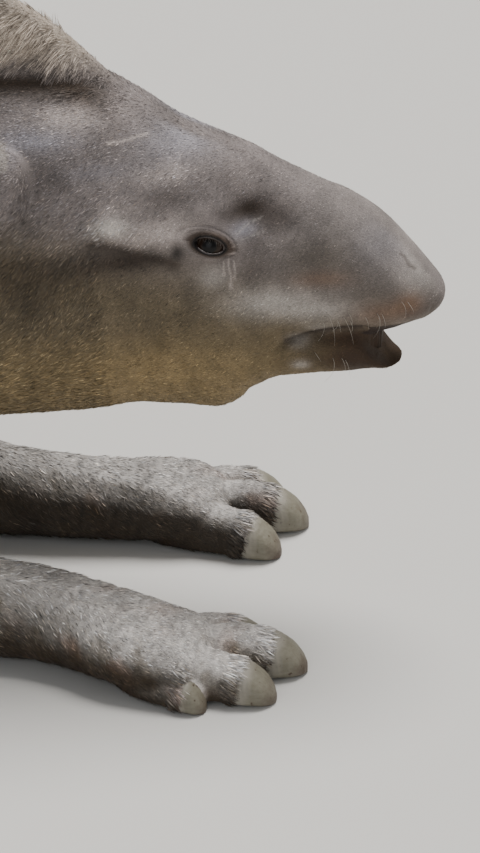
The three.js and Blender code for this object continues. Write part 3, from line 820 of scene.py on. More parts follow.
# Folds of the neck, tendons and wrinkles of the feet, and a slow unevenness everywhere; a fold is a bell
# curve over the distance to a bent line
def sculptBody(p):
    amount = uneven(p, 150, 1.0) * 1.6 * ease(-60, -300, p[:, 0]) + uneven(p, 46, 2.0) * 0.5
    amount += uneven(p, 17, 3.0) * 0.22
    neck, feet = folds["neck"], folds["foot"]
    onNeck = ease(20, 60, np.abs(p[:, 1])) * ease(160, 220, p[:, 2]) * ease(470, 380, p[:, 2])
    for x in neck["at"]:
        bent = p[:, 0] - x - 0.22 * (p[:, 2] - 320) + 6 * np.sin(p[:, 2] / 37 + x)
        amount -= neck["depth"] * np.exp(-((bent / neck["width"]) ** 2)) * onNeck
    low = ease(120, 90, p[:, 2])
    onFoot = low * ease(20, 60, p[:, 0])
    for x in feet["at"]:
        bent = p[:, 0] - x + 0.3 * np.abs(np.abs(p[:, 1]) - 118) + 2 * np.sin(p[:, 1] / 6)
        amount -= feet["depth"] * np.exp(-((bent / feet["width"]) ** 2)) * onFoot
    tendon = folds["tendonHeight"] * np.cos((np.abs(p[:, 1]) - 112) / folds["tendonWidth"])
    amount += tendon * low * ease(-20, 40, p[:, 0]) * ease(150, 110, p[:, 0]) * ease(30, 50, p[:, 2])
    return amount


# Splits every triangle's edges inside the chosen places once
def refine(mesh, chosen):
    work = bmesh.new()
    work.from_mesh(mesh)
    work.verts.ensure_lookup_table()
    edges = [e for e in work.edges if chosen[e.verts[0].index] and chosen[e.verts[1].index]]
    bmesh.ops.subdivide_edges(work, edges=edges, cuts=1, use_grid_fill=True)
    bmesh.ops.triangulate(work, faces=work.faces)
    work.to_mesh(mesh)
    work.free()


def makeSkin():
    skin = joined("skin", makeForms())
    remesh = skin.modifiers.new("fuse", "REMESH")
    remesh.mode = "VOXEL"
    remesh.voxel_size = fusing["voxel"] * 1
    applied(skin)
    print("fused", len(skin.data.polygons))
    smooth = skin.modifiers.new("smooth", "SMOOTH")
    smooth.factor = 0.5
    smooth.iterations = fusing["smoothing"]
    applied(skin)
    points, _ = meshArrays(skin.data)
    keep = detailWanted(toTable(points))
    group = skin.vertex_groups.new(name="coarser")
    weight = np.round(1 - keep * 0.95, 1)
    for level in np.unique(weight):
        group.add(np.nonzero(weight == level)[0].tolist(), float(level), "REPLACE")
    target = fusing["skinTriangles"]
    thin = skin.modifiers.new("thin", "DECIMATE")
    thin.ratio = min(1, target / (2 * len(skin.data.polygons)))
    thin.vertex_group = "coarser"
    applied(skin)
    skin.vertex_groups.clear()
    print("thinned", len(skin.data.polygons))
    centre = np.array(eyes["centre"])
    for reach in (36, 25):
        p = toTable(meshArrays(skin.data)[0])
        toEye = np.linalg.norm(p * [1, 0, 1] - centre * [1, 0, 1], axis=1)
        chosen = (toEye < reach) & (np.abs(p[:, 1]) > 34)
        if reach == 36:
            chosen |= (p[:, 0] > 232) & (p[:, 2] < 312) & (p[:, 2] > 200)
        refine(skin.data, chosen)
    print("skin", len(skin.data.polygons))
    points, normals = meshArrays(skin.data)
    p = toTable(points)
    p += normals * (sculptFace(p) + sculptBody(p))[:, None]
    p[:, 2] -= lipDrop(p, normals)
    p = shapeLids(p)
    p[:, 2] = softMax(p[:, 2], fusing["floorGap"], fusing["floorBlend"])
    skin.data.vertices.foreach_set("co", toFrame(p).ravel())
    skin.data.update()
    smoothShaded(skin)
    return skin


# Which limb a point belongs to, -1 for none, and the way that limb runs there
def findLimbs(p):
    paths = []
    for name, stations in limbs.items():
        for side in (1, -1):
            if side == -1 and name in ("tail", "forelegRight", "forelegLeft"):
                continue
            s = np.array(stations, float) * np.array([1, side, 1, 1, 1])
            t = np.linspace(0, len(s) - 1, 48)
            fine = np.stack([np.interp(t, np.arange(len(s)), s[:, k]) for k in range(5)], -1)
            paths.append((name, fine, unit(np.gradient(fine[:, :3], axis=0))))
    best = np.full(len(p), 1.28)
    limb = np.full(len(p), -1)
    way = np.zeros((len(p), 3))
    for index, (name, fine, tangent) in enumerate(paths):
        for k in range(len(fine)):
            radius = (fine[k, 3] + fine[k, 4]) / 2
            q = np.linalg.norm(p - fine[k, :3], axis=1) / radius
            closer = q < best
            best = np.where(closer, q, best)
            limb = np.where(closer, index, limb)
            way[closer] = tangent[k]
    names = np.array([name for name, _, _ in paths] + ["none"])
    return names[limb], way


# Kind of coat at each point: face, cheek, neck, chest, rump, foreleg or hindleg
def findZones(p):
    names, way = findLimbs(p)
    zone = np.where(p[:, 0] > 95, "face", np.where(p[:, 0] > -40, "cheek", "neck"))
    zone = np.where(p[:, 0] < -250, "chest", zone)
    zone = np.where(p[:, 0] < -800, "rump", zone)
    fore = np.isin(names, ["upperForeleg", "forelegRight", "forelegLeft"])
    fore |= (p[:, 0] > -130) & (p[:, 2] < 110)
    hind = np.isin(names, ["thigh", "shank", "hindFoot"])
    hind |= (p[:, 0] > -1330) & (p[:, 0] < -860) & (np.abs(p[:, 1]) > 236) & (p[:, 2] < 70)
    zone = np.where(fore, "foreleg", zone)
    zone = np.where(hind & (p[:, 0] < -850), "hindleg", zone)
    return zone, names, way


# The lie of the coat: back and down on head and body, along the limbs towards the hooves, along the ears
def combed(p, zone, names, way):
    ahead = np.tile([-1.0, 0, -0.32], (len(p), 1))
    onHead = ease(-60, 60, p[:, 0])
    steep = np.exp(-(((p[:, 0] - 40) / 70) ** 2) - ((p[:, 2] - 320) / 60) ** 2)
    ahead[:, 2] -= 0.45 * onHead * ease(230, 300, p[:, 2]) * ease(470, 400, p[:, 2]) + 0.8 * steep
    ahead[:, 2] += 0.3 * ease(250, 215, p[:, 2]) * onHead
    ahead[:, 1] += np.sign(p[:, 1]) * 0.25
    limb = (zone == "foreleg") | (zone == "hindleg") | (names == "tail")
    ahead[limb] = way[limb] + [0, 0, -0.25]
    lower = (zone == "foreleg") & (p[:, 0] > -60)
    outer = np.sign(p[:, 1]) * np.sign(np.abs(p[:, 1]) - 118)
    ahead[lower, 1] += 0.3 * outer[lower]
    ahead[lower, 2] -= 0.45
    toe = ((zone == "foreleg") & (p[:, 0] > 110)) | ((zone == "hindleg") & (p[:, 0] > -1010) & (p[:, 2] < 70))
    ahead[toe] = [1, 0, -0.5]
    thigh = (names == "thigh") & (zone == "hindleg")
    ahead[thigh] = [-0.35, 0, -1]
    inEar, _, _ = earPlace(p)
    for side in (1, -1):
        ahead[inEar & (p[:, 1] * side > 0)] = earAxes(side)[0]
    ahead[:, 2] += uneven(p, 60, 4.0) * 0.3
    return unit(ahead)


# Whether a point is on an ear, its share of the ear's length, and how far it is towards the ear's mouth
def earPlace(p):
    hit = np.zeros(len(p), bool)
    share = np.zeros(len(p))
    toMouth = np.zeros(len(p))
    for side in (1, -1):
        along, mouth, across = earAxes(side)
        offset = p - sided(ears["base"], side)
        t = offset @ along / ears["length"]
        a, m = offset @ across, offset @ mouth
        profile = ears["profile"]
        reach = ears["halfWidth"] * 1.12
        wide, back = (np.maximum(through(profile[:, 0], profile[:, k], t), 0.2) * reach for k in (1, 2))
        inside = (t > 0.02) & (t < 1.06) & (m < 14) & (p[:, 0] < 22)
        inside &= (a / wide) ** 2 + (np.minimum(m, 0) / back) ** 2 < 1
        hit |= inside
        share = np.where(inside, t, share)
        toMouth = np.where(inside, m, toMouth)
    return hit, share, toMouth


colours = {
    "forehead": linear(122, 114, 112),
    "snout": linear(128, 121, 117),
    "snoutSide": linear(94, 86, 78),
    "cheek": linear(98, 87, 69),
    "throat": linear(122, 106, 77),
    "jaw": linear(142, 122, 86),
    # dark brown: painted shade on the face, and also a dark scratch on the snout
    "shadeAndDarkMark": linear(42, 31, 22),
    # pinkish pale: painted highlight on the top of the ridge behind the eye and along wrinkles by the eye,
    # and also pale patches on the forehead, tear streaks and a pale scratch
    "highlightAndPaleMark": linear(206, 193, 186),
    "pale": linear(196, 189, 182),
    "lid": linear(17, 13, 11),
    "lip": linear(54, 38, 24),
    # the lower lip's own dark brown, which also stands for painted shade under the upper lip
    "rust": linear(116, 78, 42),
    # painted shade: the upper lip's underside over the mouth, and the mouth's line
    "mouth": linear(34, 22, 19),
    "back": linear(98, 87, 75),
    "side": linear(112, 99, 83),
    "belly": linear(126, 111, 88),
    "crest": linear(176, 163, 148),
    # painted shade in the crease under the crest
    "creaseShade": linear(50, 38, 26),
    "leg": linear(136, 131, 125),
    # pale hair of the feet; on the legs' upward faces it is also painted highlight
    "foot": linear(196, 191, 187),
    "pink": linear(164, 128, 112),
    # painted shade on the legs' sides and undersides
    "under": linear(52, 40, 25),
    "sheen": linear(150, 148, 156),
    "lidFlesh": linear(66, 54, 46),
    "earBack": linear(138, 131, 126),
    "earRim": linear(186, 175, 158),
    "earCup": linear(96, 78, 56),
}

# x, z, half width, half height, colour, strength: patches of the face. The dark brown patches are painted
# shade, in the hollows by the eye, under the ridge behind the eye, between ear and jaw, at the nostril and on
# the forehead; the pinkish pale ones along that ridge towards the eye are painted highlight, the grey-blue
# ones painted sheen, and the lip's patches its own dark brown with painted shade under the upper lip
facePatches = [
    (95, 318, 80, 40, "cheek", 0.6),
    (20, 335, 44, 30, "shadeAndDarkMark", 0.45),
    (140, 245, 64, 34, "jaw", 0.8),
    (190, 300, 50, 26, "cheek", 0.35),
    (102, 388, 14, 8, "pale", 0.95),
    (134, 380, 22, 11, "highlightAndPaleMark", 0.6),
    (158, 388, 18, 12, "highlightAndPaleMark", 0.3),
    (112, 357, 36, 9, "shadeAndDarkMark", 0.85),
    (64, 350, 44, 16, "shadeAndDarkMark", 0.45),
    (112, 404, 22, 7, "highlightAndPaleMark", 0.22),
    (146, 408, 19, 10, "shadeAndDarkMark", 0.42),
    (140, 426, 22, 6, "highlightAndPaleMark", 0.28),
    (52, 428, 28, 13, "shadeAndDarkMark", 0.38),
    (40, 455, 30, 9, "sheen", 0.6),
    (66, 470, 24, 8, "highlightAndPaleMark", 0.35),
    (100, 456, 11, 12, "shadeAndDarkMark", 0.3),
    (158, 447, 34, 12, "sheen", 0.6),
    (90, 432, 30, 7, "sheen", 0.25),
    (196, 418, 20, 8, "shadeAndDarkMark", 0.3),
    (210, 394, 20, 12, "shadeAndDarkMark", 1.0),
    (232, 386, 20, 12, "shadeAndDarkMark", 0.6),
    (206, 379, 10, 6, "sheen", 0.65),
    (154, 363, 5.5, 8, "lid", 0.8),
    (194, 363, 7, 5, "lidFlesh", 0.9),
    (183, 341, 11, 9, "pale", 0.45),
    (214, 344, 12, 26, "shadeAndDarkMark", 0.35),
    (270, 352, 44, 20, "snoutSide", 0.85),
    (312, 318, 34, 18, "snoutSide", 0.75),
    (296, 344, 16, 16, "shadeAndDarkMark", 0.22),
    (228, 316, 34, 14, "pale", 0.62),
    (268, 308, 30, 9, "pale", 0.42),
    (268, 335, 24, 8, "rust", 0.38),
    (341, 312, 12, 10, "rust", 0.6),
    (320, 305, 26, 10, "rust", 0.4),
    (360, 300, 12, 12, "shadeAndDarkMark", 0.5),
    (296, 262, 44, 17, "lip", 1.0),
    (290, 280, 30, 8, "lip", 0.9),
    (253, 257, 7, 5, "pale", 0.5),
    (250, 279, 9, 6, "pale", 0.45),
    (268, 291, 11, 5, "pale", 0.35),
    (354, 344, 17, 24, "pale", 0.6),
    (318, 362, 26, 18, "sheen", 0.25),
]


# line in x and z, width, colour, strength: wrinkles, tear streaks and scratches; the pale lines along the
# wrinkles by the eye are painted highlight, and the dark lines under the ridge behind the eye and along the
# mouth are painted shade
faceLines = [
    ([(195, 356), (195, 349), (197, 342), (197, 330)], 0.8, "highlightAndPaleMark", 0.4),
    ([(191, 354), (191, 347), (192, 342)], 0.7, "highlightAndPaleMark", 0.35),
    ([(199, 354), (200, 347), (200, 338)], 0.7, "highlightAndPaleMark", 0.3),
    ([(201, 376), (206, 381), (214, 385), (220, 387)], 0.7, "pale", 0.3),
    ([(204, 371), (212, 374), (222, 377)], 0.7, "pale", 0.25),
    ([(187, 368), (193, 367), (199, 367)], 0.8, "highlightAndPaleMark", 0.4),
    ([(188, 361), (193, 361), (199, 361)], 0.8, "highlightAndPaleMark", 0.35),
    ([(331, 351), (335, 347), (337, 343), (343, 337)], 0.8, "shadeAndDarkMark", 0.6),
    ([(86, 371), (104, 368), (128, 361), (152, 352)], 5.0, "shadeAndDarkMark", 0.65),
    ([(240, 277), (262, 285), (286, 290), (300, 290)], 2.6, "mouth", 0.7),
    ([(96, 452), (108, 452), (126, 453)], 0.9, "highlightAndPaleMark", 0.5),
]


def blendColour(base, name, strength):
    return base + (colours[name] - base) * np.clip(strength, 0, 1)[:, None]


# Markings and painted light: the colour of skin and coat at each point, from soft patches and slow
# unevenness, with painted highlight and painted shade on the face, along the crease under the crest and on
# the legs
def markingsAndLight(p, normals, zone, names):
    top = ease(-0.25, 0.75, normals[:, 2])
    colour = np.tile(colours["side"], (len(p), 1))
    colour = blendColour(colour, "back", top)
    colour = blendColour(colour, "belly", ease(0.0, -0.8, normals[:, 2]) * 0.8)
    head = ease(-120, 0, p[:, 0]) * (p[:, 2] > 140)
    onHead = np.tile(colours["cheek"], (len(p), 1))
    onHead = blendColour(onHead, "throat", ease(310, 240, p[:, 2]))
    onHead = blendColour(onHead, "forehead", ease(330, 410, p[:, 2] + 0.28 * (p[:, 0] - 60)))
    onHead = blendColour(onHead, "snout", ease(210, 300, p[:, 0]) * ease(300, 345, p[:, 2]) * 0.6)
    side = ease(6, 18, np.abs(p[:, 1]))
    for x, z, wide, tall, name, strength in facePatches:
        onHead = blendColour(onHead, name, spot(p, x, z, wide, tall) * strength * side)
    for line, width, name, strength in faceLines:
        onHead = blendColour(onHead, name, mark(p, line, width) * strength * side)
    for side in (1, -1):
        a, b, o = intoEye(p, side)
        share = slitShare(a, b)
        near = np.abs(o) < 26
        flesh = np.where(b > 0, ease(2.1, 1.3, share), ease(1.7, 1.2, share))
        onHead = blendColour(onHead, "lidFlesh", flesh * near)
        onHead = blendColour(onHead, "lid", ease(1.35, 1.08, share) * near)
    # The lower lip: its own dark brown, with painted shade under the upper lip
    onHead = blendColour(onHead, "lip", ease(268, 298, p[:, 0]) * ease(290, 280, p[:, 2]) * 0.9)
    # Painted shade on the upper lip's underside, where it hides the mouth
    onHead = blendColour(onHead, "mouth", inMouth(p, normals) * 0.8)
    colour += (onHead - colour) * head[:, None]
    foot = creaseLevel(p[:, 0])
    onCrest = ease(48, 40, np.abs(p[:, 1])) * ease(150, 100, p[:, 0]) * ease(-480, -430, p[:, 0])
    colour = blendColour(colour, "crest", onCrest * ease(foot + 4, foot + 30, p[:, 2]) * 0.8)
    # Painted shade: a dark band along the crease under the crest
    creaseShadeBand = np.exp(-(((p[:, 2] - foot) / 9) ** 2)) * (np.abs(p[:, 1]) < 60) * ease(-420, -300, p[:, 0])
    colour = blendColour(colour, "creaseShade", creaseShadeBand * ease(112, 70, p[:, 0]) * 0.95)
    legs = (zone == "foreleg") | (zone == "hindleg")
    ragged = 34 * uneven(p, 90, 9.0) + 12 * uneven(p, 22, 2.5)
    hindDown = ease(110, 50, p[:, 2] + ragged * 0.5)
    down = np.where(zone == "hindleg", hindDown, ease(215, 105, p[:, 2] + ragged))
    feet = np.where(p[:, 0] > -700, ease(-30, 120, p[:, 0]), ease(60, 30, p[:, 2]))
    leg = np.tile(colours["leg"], (len(p), 1))
    # Pale feet, palest on their upward faces: their own pale hair, with painted highlight on the tops
    leg = blendColour(leg, "foot", feet * ease(-0.2, 0.7, normals[:, 2]) * 0.8)
    mottle = ease(0.0, 0.5, uneven(p, 34, 5.0)) * 0.45 + ease(0.1, 0.5, uneven(p, 13, 3.5)) * 0.3
    leg = blendColour(leg, "cheek", mottle * ease(1.0, 0.6, normals[:, 2]))
    leg = blendColour(leg, "pink", ease(0.05, 0.8, uneven(p, 48, 7.5)) * feet * 0.4)
    # Painted highlight: the forelegs' upward faces made paler
    leg = blendColour(leg, "foot", ease(0.55, 0.95, normals[:, 2]) * (p[:, 0] > -200) * 0.55)
    # Painted shade: the legs' sides and undersides turn dark brown, reaching further up on the far legs
    farSideShade = np.where(p[:, 1] > 0, 0.42, 0)
    leg = blendColour(leg, "under", ease(0.55 + farSideShade, -0.25 + farSideShade, normals[:, 2]) * 0.92)
    grain = 0.34 * uneven(p, 9, 4.2) + 0.26 * uneven(p, 5, 6.3)
    # The grain, and painted shade darkening the far legs all over
    leg = leg * ((1 + grain) * np.where(p[:, 1] > 0, 0.66, 1))[:, None]
    colour += (leg - colour) * (legs * down)[:, None]
    inEar, share, toMouth = earPlace(p)
    ear = blendColour(np.tile(colours["earBack"], (len(p), 1)), "earRim", ease(0.72, 0.95, share) * 0.85)
    ear = blendColour(ear, "earCup", (toMouth > -2) * (share < 0.8) * ease(0.2, 0.4, share) * 0.6)
    colour += (ear - colour) * inEar[:, None]
    shade = 1 + 0.22 * uneven(p, 70, 6.0) + 0.16 * uneven(p, 24, 7.0) + 0.1 * uneven(p, 9, 8.0)
    return np.clip(colour * shade[:, None], 0, 1)


# The upper lip's underside, where it hides the mouth
def inMouth(p, normals):
    level = (p[:, 2] < 290) & (p[:, 2] > 266)
    return level & (p[:, 0] > 292) & (np.abs(p[:, 1]) < 34) & (normals[:, 2] < -0.45)


# Level of the crease under the crest: it falls from the withers to the nape and again to the forehead
def creaseLevel(x):
    return through([-420, -300, -100, 0, 50, 100, 140], [470, 478, 486, 490, 489, 474, 452], x)


def paint(mesh, name, colour):
    layer = mesh.color_attributes.new(name, "FLOAT_COLOR", "POINT")
    layer.data.foreach_set("color", np.concatenate([colour, np.ones((len(colour), 1))], 1).ravel())


def skinFinish():
    finish = Finish("hideUnderCoat")
    hairs = finish.noise(finish.place((1, 2.4, 2.4), (0, 0.45, 0)), 560, 4.0, 0.75)
    pores = finish.noise(finish.place(), 900, 2.0)
    blotch = finish.noise(finish.place(), 38, 4.0, 0.6)
    colour = finish.marked(hairs * 2.1 + blotch * 0.5 - 0.36)
    bump = finish.bump(hairs + pores * 0.4, 0.7, 0.0012)
    finish.set(Base_Color=colour, Roughness=0.62 + blotch * 0.2, Normal=bump)
    finish.set(Specular_IOR_Level=0.32)
    return finish.material


coat = {
    "lift": (0.10, 0.24),  # how far a tuft rises for its length
    "roll": 0.5,
    "hoofFringe": 10.0,  # length of the hair that falls over the hooves
    # for each piece its zone, its count of tufts, their length in millimetres and how much their tone varies
    "pieces": {
        "coatFace": ("face", 66500, 3.7, 0.34),
        "coatCheek": ("cheek", 66500, 5.6, 0.34),
        "coatNeck": ("neck", 60000, 9.5, 0.3),
        "coatChest": ("chest", 59000, 14.0, 0.26),
        "coatRump": ("rump", 59000, 14.0, 0.26),
        "coatForelegs": ("foreleg", 66500, 6.2, 0.46),
        "coatHindlegs": ("hindleg", 52000, 9.0, 0.34),
    },
}


# Length of the coat at each point: the zone's own, shorter towards the snout's tip, eyes and ears
def coatLength(p, zone):
    lengths = {name: length for name, _, length, _ in coat["pieces"].values()}
    length = np.array([lengths[z] for z in zone])
    length = np.where(zone == "face", length * (0.6 + 0.5 * ease(330, 120, p[:, 0])), length)
    foot = (zone == "foreleg") | (zone == "hindleg")
    length = np.where(foot, length * (0.62 + 0.38 * ease(190, 60, p[:, 0])), length)
    length = np.where(zone == "foreleg", length + 7 * ease(110, 230, p[:, 2]), length)
    length = np.where(zone == "hindleg", length + 4 * ease(90, 220, p[:, 2]), length)
    length = np.where((zone == "hindleg") & (p[:, 2] < 70), length * 0.6, length)
    inEar, _, _ = earPlace(p)
    length = np.where(inEar, 5.0, length)
    toEye = np.linalg.norm((p - eyes["centre"]) * [1, 0, 1], axis=1)
    length *= 0.45 + 0.55 * ease(18, 50, toEye)
    onForehead = (zone == "cheek") & (p[:, 2] > 395)
    length = np.where(onForehead, length * (1 - 0.35 * ease(395, 430, p[:, 2])), length)
    for past in hoofDistances(p):
        length = np.where((past > -8) & (past < 4), coat["hoofFringe"], length)
    return length


# For each toe, how far beyond its hoof's cuticle a point lies, in millimetres; it is far behind where the
# point isn't on that toe
def hoofDistances(p):
    for rootX, rootY, tipX, tipY, half, height in allToes:
        along = np.array([tipX - rootX, tipY - rootY])
        size = np.linalg.norm(along)
        offset = p[:, :2] - [rootX, rootY]
        u = offset @ along / size**2
        aside = np.abs(offset @ np.array([-along[1], along[0]])) / size
        past = (u - cuticle(np.clip(p[:, 2] / height, 0, 1))) * size
        on = (u < 1.1) & (aside < half * 1.15) & (p[:, 2] < height * 1.15)
        yield np.where(on, past, -1000.0)


# Places where nothing grows: the slit of the eye, the lips' inside, nostrils, the floor, under the hooves
def bare(p, normals):
    none = np.zeros(len(p), bool)
    for side in (1, -1):
        a, b, o = intoEye(p, side)
        none |= (slitShare(a, b) < 1.25) & (np.abs(o) < 26)
    for past in hoofDistances(p):
        none |= past > 1.5
    none |= inMouth(p, normals)
    for side in (1, -1):
        none |= np.linalg.norm(p - sided(face["nostril"]["at"], side), axis=1) < 6
    none |= (p[:, 2] < 4) & (normals[:, 2] < -0.5)
    return none


# Each tuft is a bent blade of five points: two at the root, two at the middle, one at the tip
def growCoat(name, triangles, corners, normals, area, zones):
    zoneName, count, _, speckle = coat["pieces"][name]
    middle = corners.mean(1)
    facing = unit(np.cross(corners[:, 1] - corners[:, 0], corners[:, 2] - corners[:, 0]))
    wanted = (zones[0] == zoneName) & ~bare(middle, facing)
    length = coatLength(middle, zones[0])
    weight = np.where(wanted, area / np.minimum(length, 9) ** 1.6, 0)
    atHoof = np.max(list(hoofDistances(middle)), axis=0)
    weight = np.where((atHoof > -8) & (zoneName == "foreleg"), weight * 9, weight)
    reach = np.cumsum(weight) / weight.sum()
    count = count
    pick = np.searchsorted(reach, (np.arange(count) + draw.random(count)) / count)
    pick = np.minimum(pick, len(reach) - 1)
    share = np.sort(draw.random((count, 2)), axis=1)
    share = np.stack([share[:, 0], share[:, 1] - share[:, 0], 1 - share[:, 1]], -1)
    root = (corners[pick] * share[..., None]).sum(1)
    out = unit((normals[triangles[pick]] * share[..., None]).sum(1))
    lie = combed(root, zones[0][pick], zones[1][pick], zones[2][pick])
    lie = unit(lie - out * (lie * out).sum(1)[:, None])
    across = np.cross(out, lie)
    turn = draw.normal(0, 0.2, count)[:, None]
    lie, across = lie * np.cos(turn) + across * np.sin(turn), across * np.cos(turn) - lie * np.sin(turn)
    long = length[pick] * draw.uniform(0.7, 1.3, count)
    low, high = coat["lift"]
    rise = long * draw.uniform(low, high, count)
    roll = draw.normal(0, coat["roll"], count)[:, None]
    flat = across * np.cos(roll) + out * np.sin(roll)
    broad = (0.12 + 0.038 * long)[:, None] * flat
    sag = (lie * (long * 0.5)[:, None]) + out * (rise * 0.68)[:, None]
    tip = (lie * long[:, None]) + out * rise[:, None]
    base = root - out * 0.35
    bend = base + sag
    points = np.stack([base - broad, base + broad, bend + broad * 0.85, bend - broad * 0.85, base + tip], 1)
    points[..., 2] = np.maximum(points[..., 2], 0.3)
    tone = markingsAndLight(root, out, zones[0][pick], zones[1][pick])
    vary = np.exp(draw.normal(0, speckle, count))
    vary = np.where(draw.random(count) < 0.06, vary * 1.6, vary)
    vary = np.where(draw.random(count) < 0.09, vary * 0.5, vary)
    vary = np.where(atHoof[pick] > -8, np.maximum(vary, 0.8), vary)
    warm = 1 + draw.normal(0, 0.035, count)[:, None] * [1, 0.2, -1]
    tone = tone * vary[:, None] * warm
    return bladePiece(name, points, tone, unwrapped(root, zones[0][pick]), tuftBlade)


# A blade's corners in order, where each face starts in them, and each point's tone and place in its patch
tuftBlade = {
    "order": [0, 1, 2, 3, 3, 2, 4],
    "starts": [0, 4],
    "tones": [0.72, 0.72, 1.0, 1.0, 1.2],
    "patch": [(0, 0), (1, 0), (0.85, 0.5), (0.15, 0.5), (0.5, 1)],
}
maneBlade = {
    "order": [0, 1, 2, 3, 3, 2, 4, 5, 5, 4, 6],
    "starts": [0, 4, 8],
    "tones": [0.4, 0.4, 0.85, 0.85, 1.25, 1.25, 1.5],
    "patch": [(0, 0), (1, 0), (0.95, 0.4), (0.05, 0.4), (0.8, 0.75), (0.2, 0.75), (0.5, 1)],
}
patchSize = 0.003  # of a blade on OFBake


# All blades of a kind as one piece, each painted in its tone, with its patch at its place on OFBake
def bladePiece(name, points, tone, place, kind):
    count, size = points.shape[:2]
    mesh = bpy.data.meshes.new(name)
    mesh.vertices.add(count * size)
    mesh.vertices.foreach_set("co", toFrame(points).ravel())
    loops = (np.arange(count)[:, None] * size + kind["order"]).ravel()
    mesh.loops.add(len(loops))
    mesh.loops.foreach_set("vertex_index", loops)
    starts = (np.arange(count)[:, None] * len(kind["order"]) + kind["starts"]).ravel()
    mesh.polygons.add(len(starts))
    mesh.polygons.foreach_set("loop_start", starts)
    mesh.update(calc_edges=True)
    mesh.validate()
    tones = np.array(kind["tones"])[None, :, None]
    paint(mesh, "marking", np.clip(tone[:, None] * tones, 0, 1).reshape(-1, 3))
    spots = place[:, None] * (1 - patchSize) + np.array(kind["patch"]) * patchSize
    layer = mesh.uv_layers.new(name="OFBake")
    layer.data.foreach_set("uv", spots.reshape(-1, 2)[loops].ravel())
    obj = bpy.data.objects.new(name, mesh)
    bpy.context.scene.collection.objects.link(obj)
    smoothShaded(obj)
    return obj


# The form unwrapped as a tube: round it one way and along it the other, left and right legs side by side
def unwrapped(root, zone):
    legs = np.isin(zone, ["foreleg", "hindleg"])
    centreZ = np.where(legs, 50, np.where(root[:, 0] > -40, 330, 250))
    centreY = np.where(legs, np.sign(root[:, 1]) * np.where(root[:, 0] < -800, 230, 125), 0)
    around = np.arctan2(root[:, 1] - centreY, root[:, 2] - centreZ) / (2 * pi) + 0.5
    around = np.where(legs, around / 2 + (root[:, 1] > 0) * 0.5, around)
    low, high = root[:, 0].min(), root[:, 0].max()
    along = (root[:, 0] - low) / (high - low)
    return np.stack([around, along], -1)


def coatFinish():
    finish = Finish("coatHair")
    fleck = finish.noise(finish.place(), 380, 3.0, 0.6)
    finish.set(Base_Color=finish.marked(0.4 + fleck * 1.2), Roughness=0.5 + fleck * 0.2)
    finish.set(Specular_IOR_Level=0.35, Sheen_Weight=0.12, Sheen_Roughness=0.4)
    return finish.material


def dress(obj, material):
    obj.data.materials.clear()
    obj.data.materials.append(material)
    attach(obj, "root")
    print(obj.name, len(obj.data.polygons), "faces")


def makeCoat(skin):
    mesh = skin.data
    mesh.calc_loop_triangles()
    triangles = np.empty(len(mesh.loop_triangles) * 3, int)
    mesh.loop_triangles.foreach_get("vertices", triangles)
    triangles = triangles.reshape(-1, 3)
    points, normals = meshArrays(mesh)
    p = toTable(points)
    corners = p[triangles]
    area = np.linalg.norm(np.cross(corners[:, 1] - corners[:, 0], corners[:, 2] - corners[:, 0]), axis=1) / 2
    zones = findZones(corners.mean(1))
    pointZones = findZones(p)
    paint(mesh, "marking", markingsAndLight(p, normals, pointZones[0], pointZones[1]))
    dress(skin, skinFinish())
    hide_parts(*[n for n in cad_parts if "hoof" not in n and "eye" not in n])
    hair = coatFinish()
    for name in coat["pieces"]:
        dress(growCoat(name, triangles, corners, normals, area, zones), hair)


# Eyes: a ball with a low dome of clear cornea over the iris; radius grows by a bell curve about the gaze
def makeEyes():
    rings, sides = 64, 72
    tilt = np.linspace(0, pi, rings)[:, None]
    turn = np.linspace(0, 2 * pi, sides, endpoint=False)[None, :]
    radius = eyes["radius"] + eyes["corneaRise"] * np.exp(-((tilt / 0.55) ** 2))
    parts = []
    for side in (1, -1):
        along, up, out = eyeAxes(side)
        centre = sided(eyes["centre"], side)
        lie = along * (np.sin(tilt) * np.cos(turn))[..., None] + up * (np.sin(tilt) * np.sin(turn))[..., None]
        points = centre + (lie + out * np.cos(tilt)[..., None]) * radius[..., None]
        parts.append(tube("eye", points[1:-1] if side > 0 else points[1:-1, ::-1]))
    obj = joined("eyes", parts)
    points, _ = meshArrays(obj.data)
    p = toTable(points)
    angle = np.zeros(len(p))
    for side in (1, -1):
        offset = unit(p - sided(eyes["centre"], side))
        angle = np.where(p[:, 1] * side > 0, np.arccos(np.clip(offset @ eyeAxes(side)[2], -1, 1)), angle)
    addLayer(obj.data, "fromGaze", angle)
    smoothShaded(obj)
    finish = Finish("eyeball")
    ring = finish.attribute("fromGaze", 2)
    threads = finish.noise(finish.place(), 900, 3.0)
    stops = [
        (0.0, linear(6, 6, 7)),
        (0.2, linear(9, 8, 9)),
        (0.26, linear(34, 23, 15)),
        (0.42, linear(40, 27, 18)),
        (0.5, linear(16, 12, 10)),
        (0.6, linear(40, 30, 26)),
        (1.0, linear(70, 56, 50)),
    ]
    ramp = finish.add("ShaderNodeValToRGB", {"stops": stops}, {0: ring / 2.0 + (threads - 0.5) * 0.05})
    finish.set(Base_Color=ramp, Roughness=0.3, Coat_Weight=0.12, Coat_Roughness=0.06, IOR=1.36)
    finish.set(Specular_IOR_Level=0.25)
    dress(obj, finish.material)
    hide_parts("eye_right", "eye_left")


lids = {
    "rim": 1.15,
    "lashes": 26,
    "lashLength": 9,
    "lashRadius": 0.22,
}


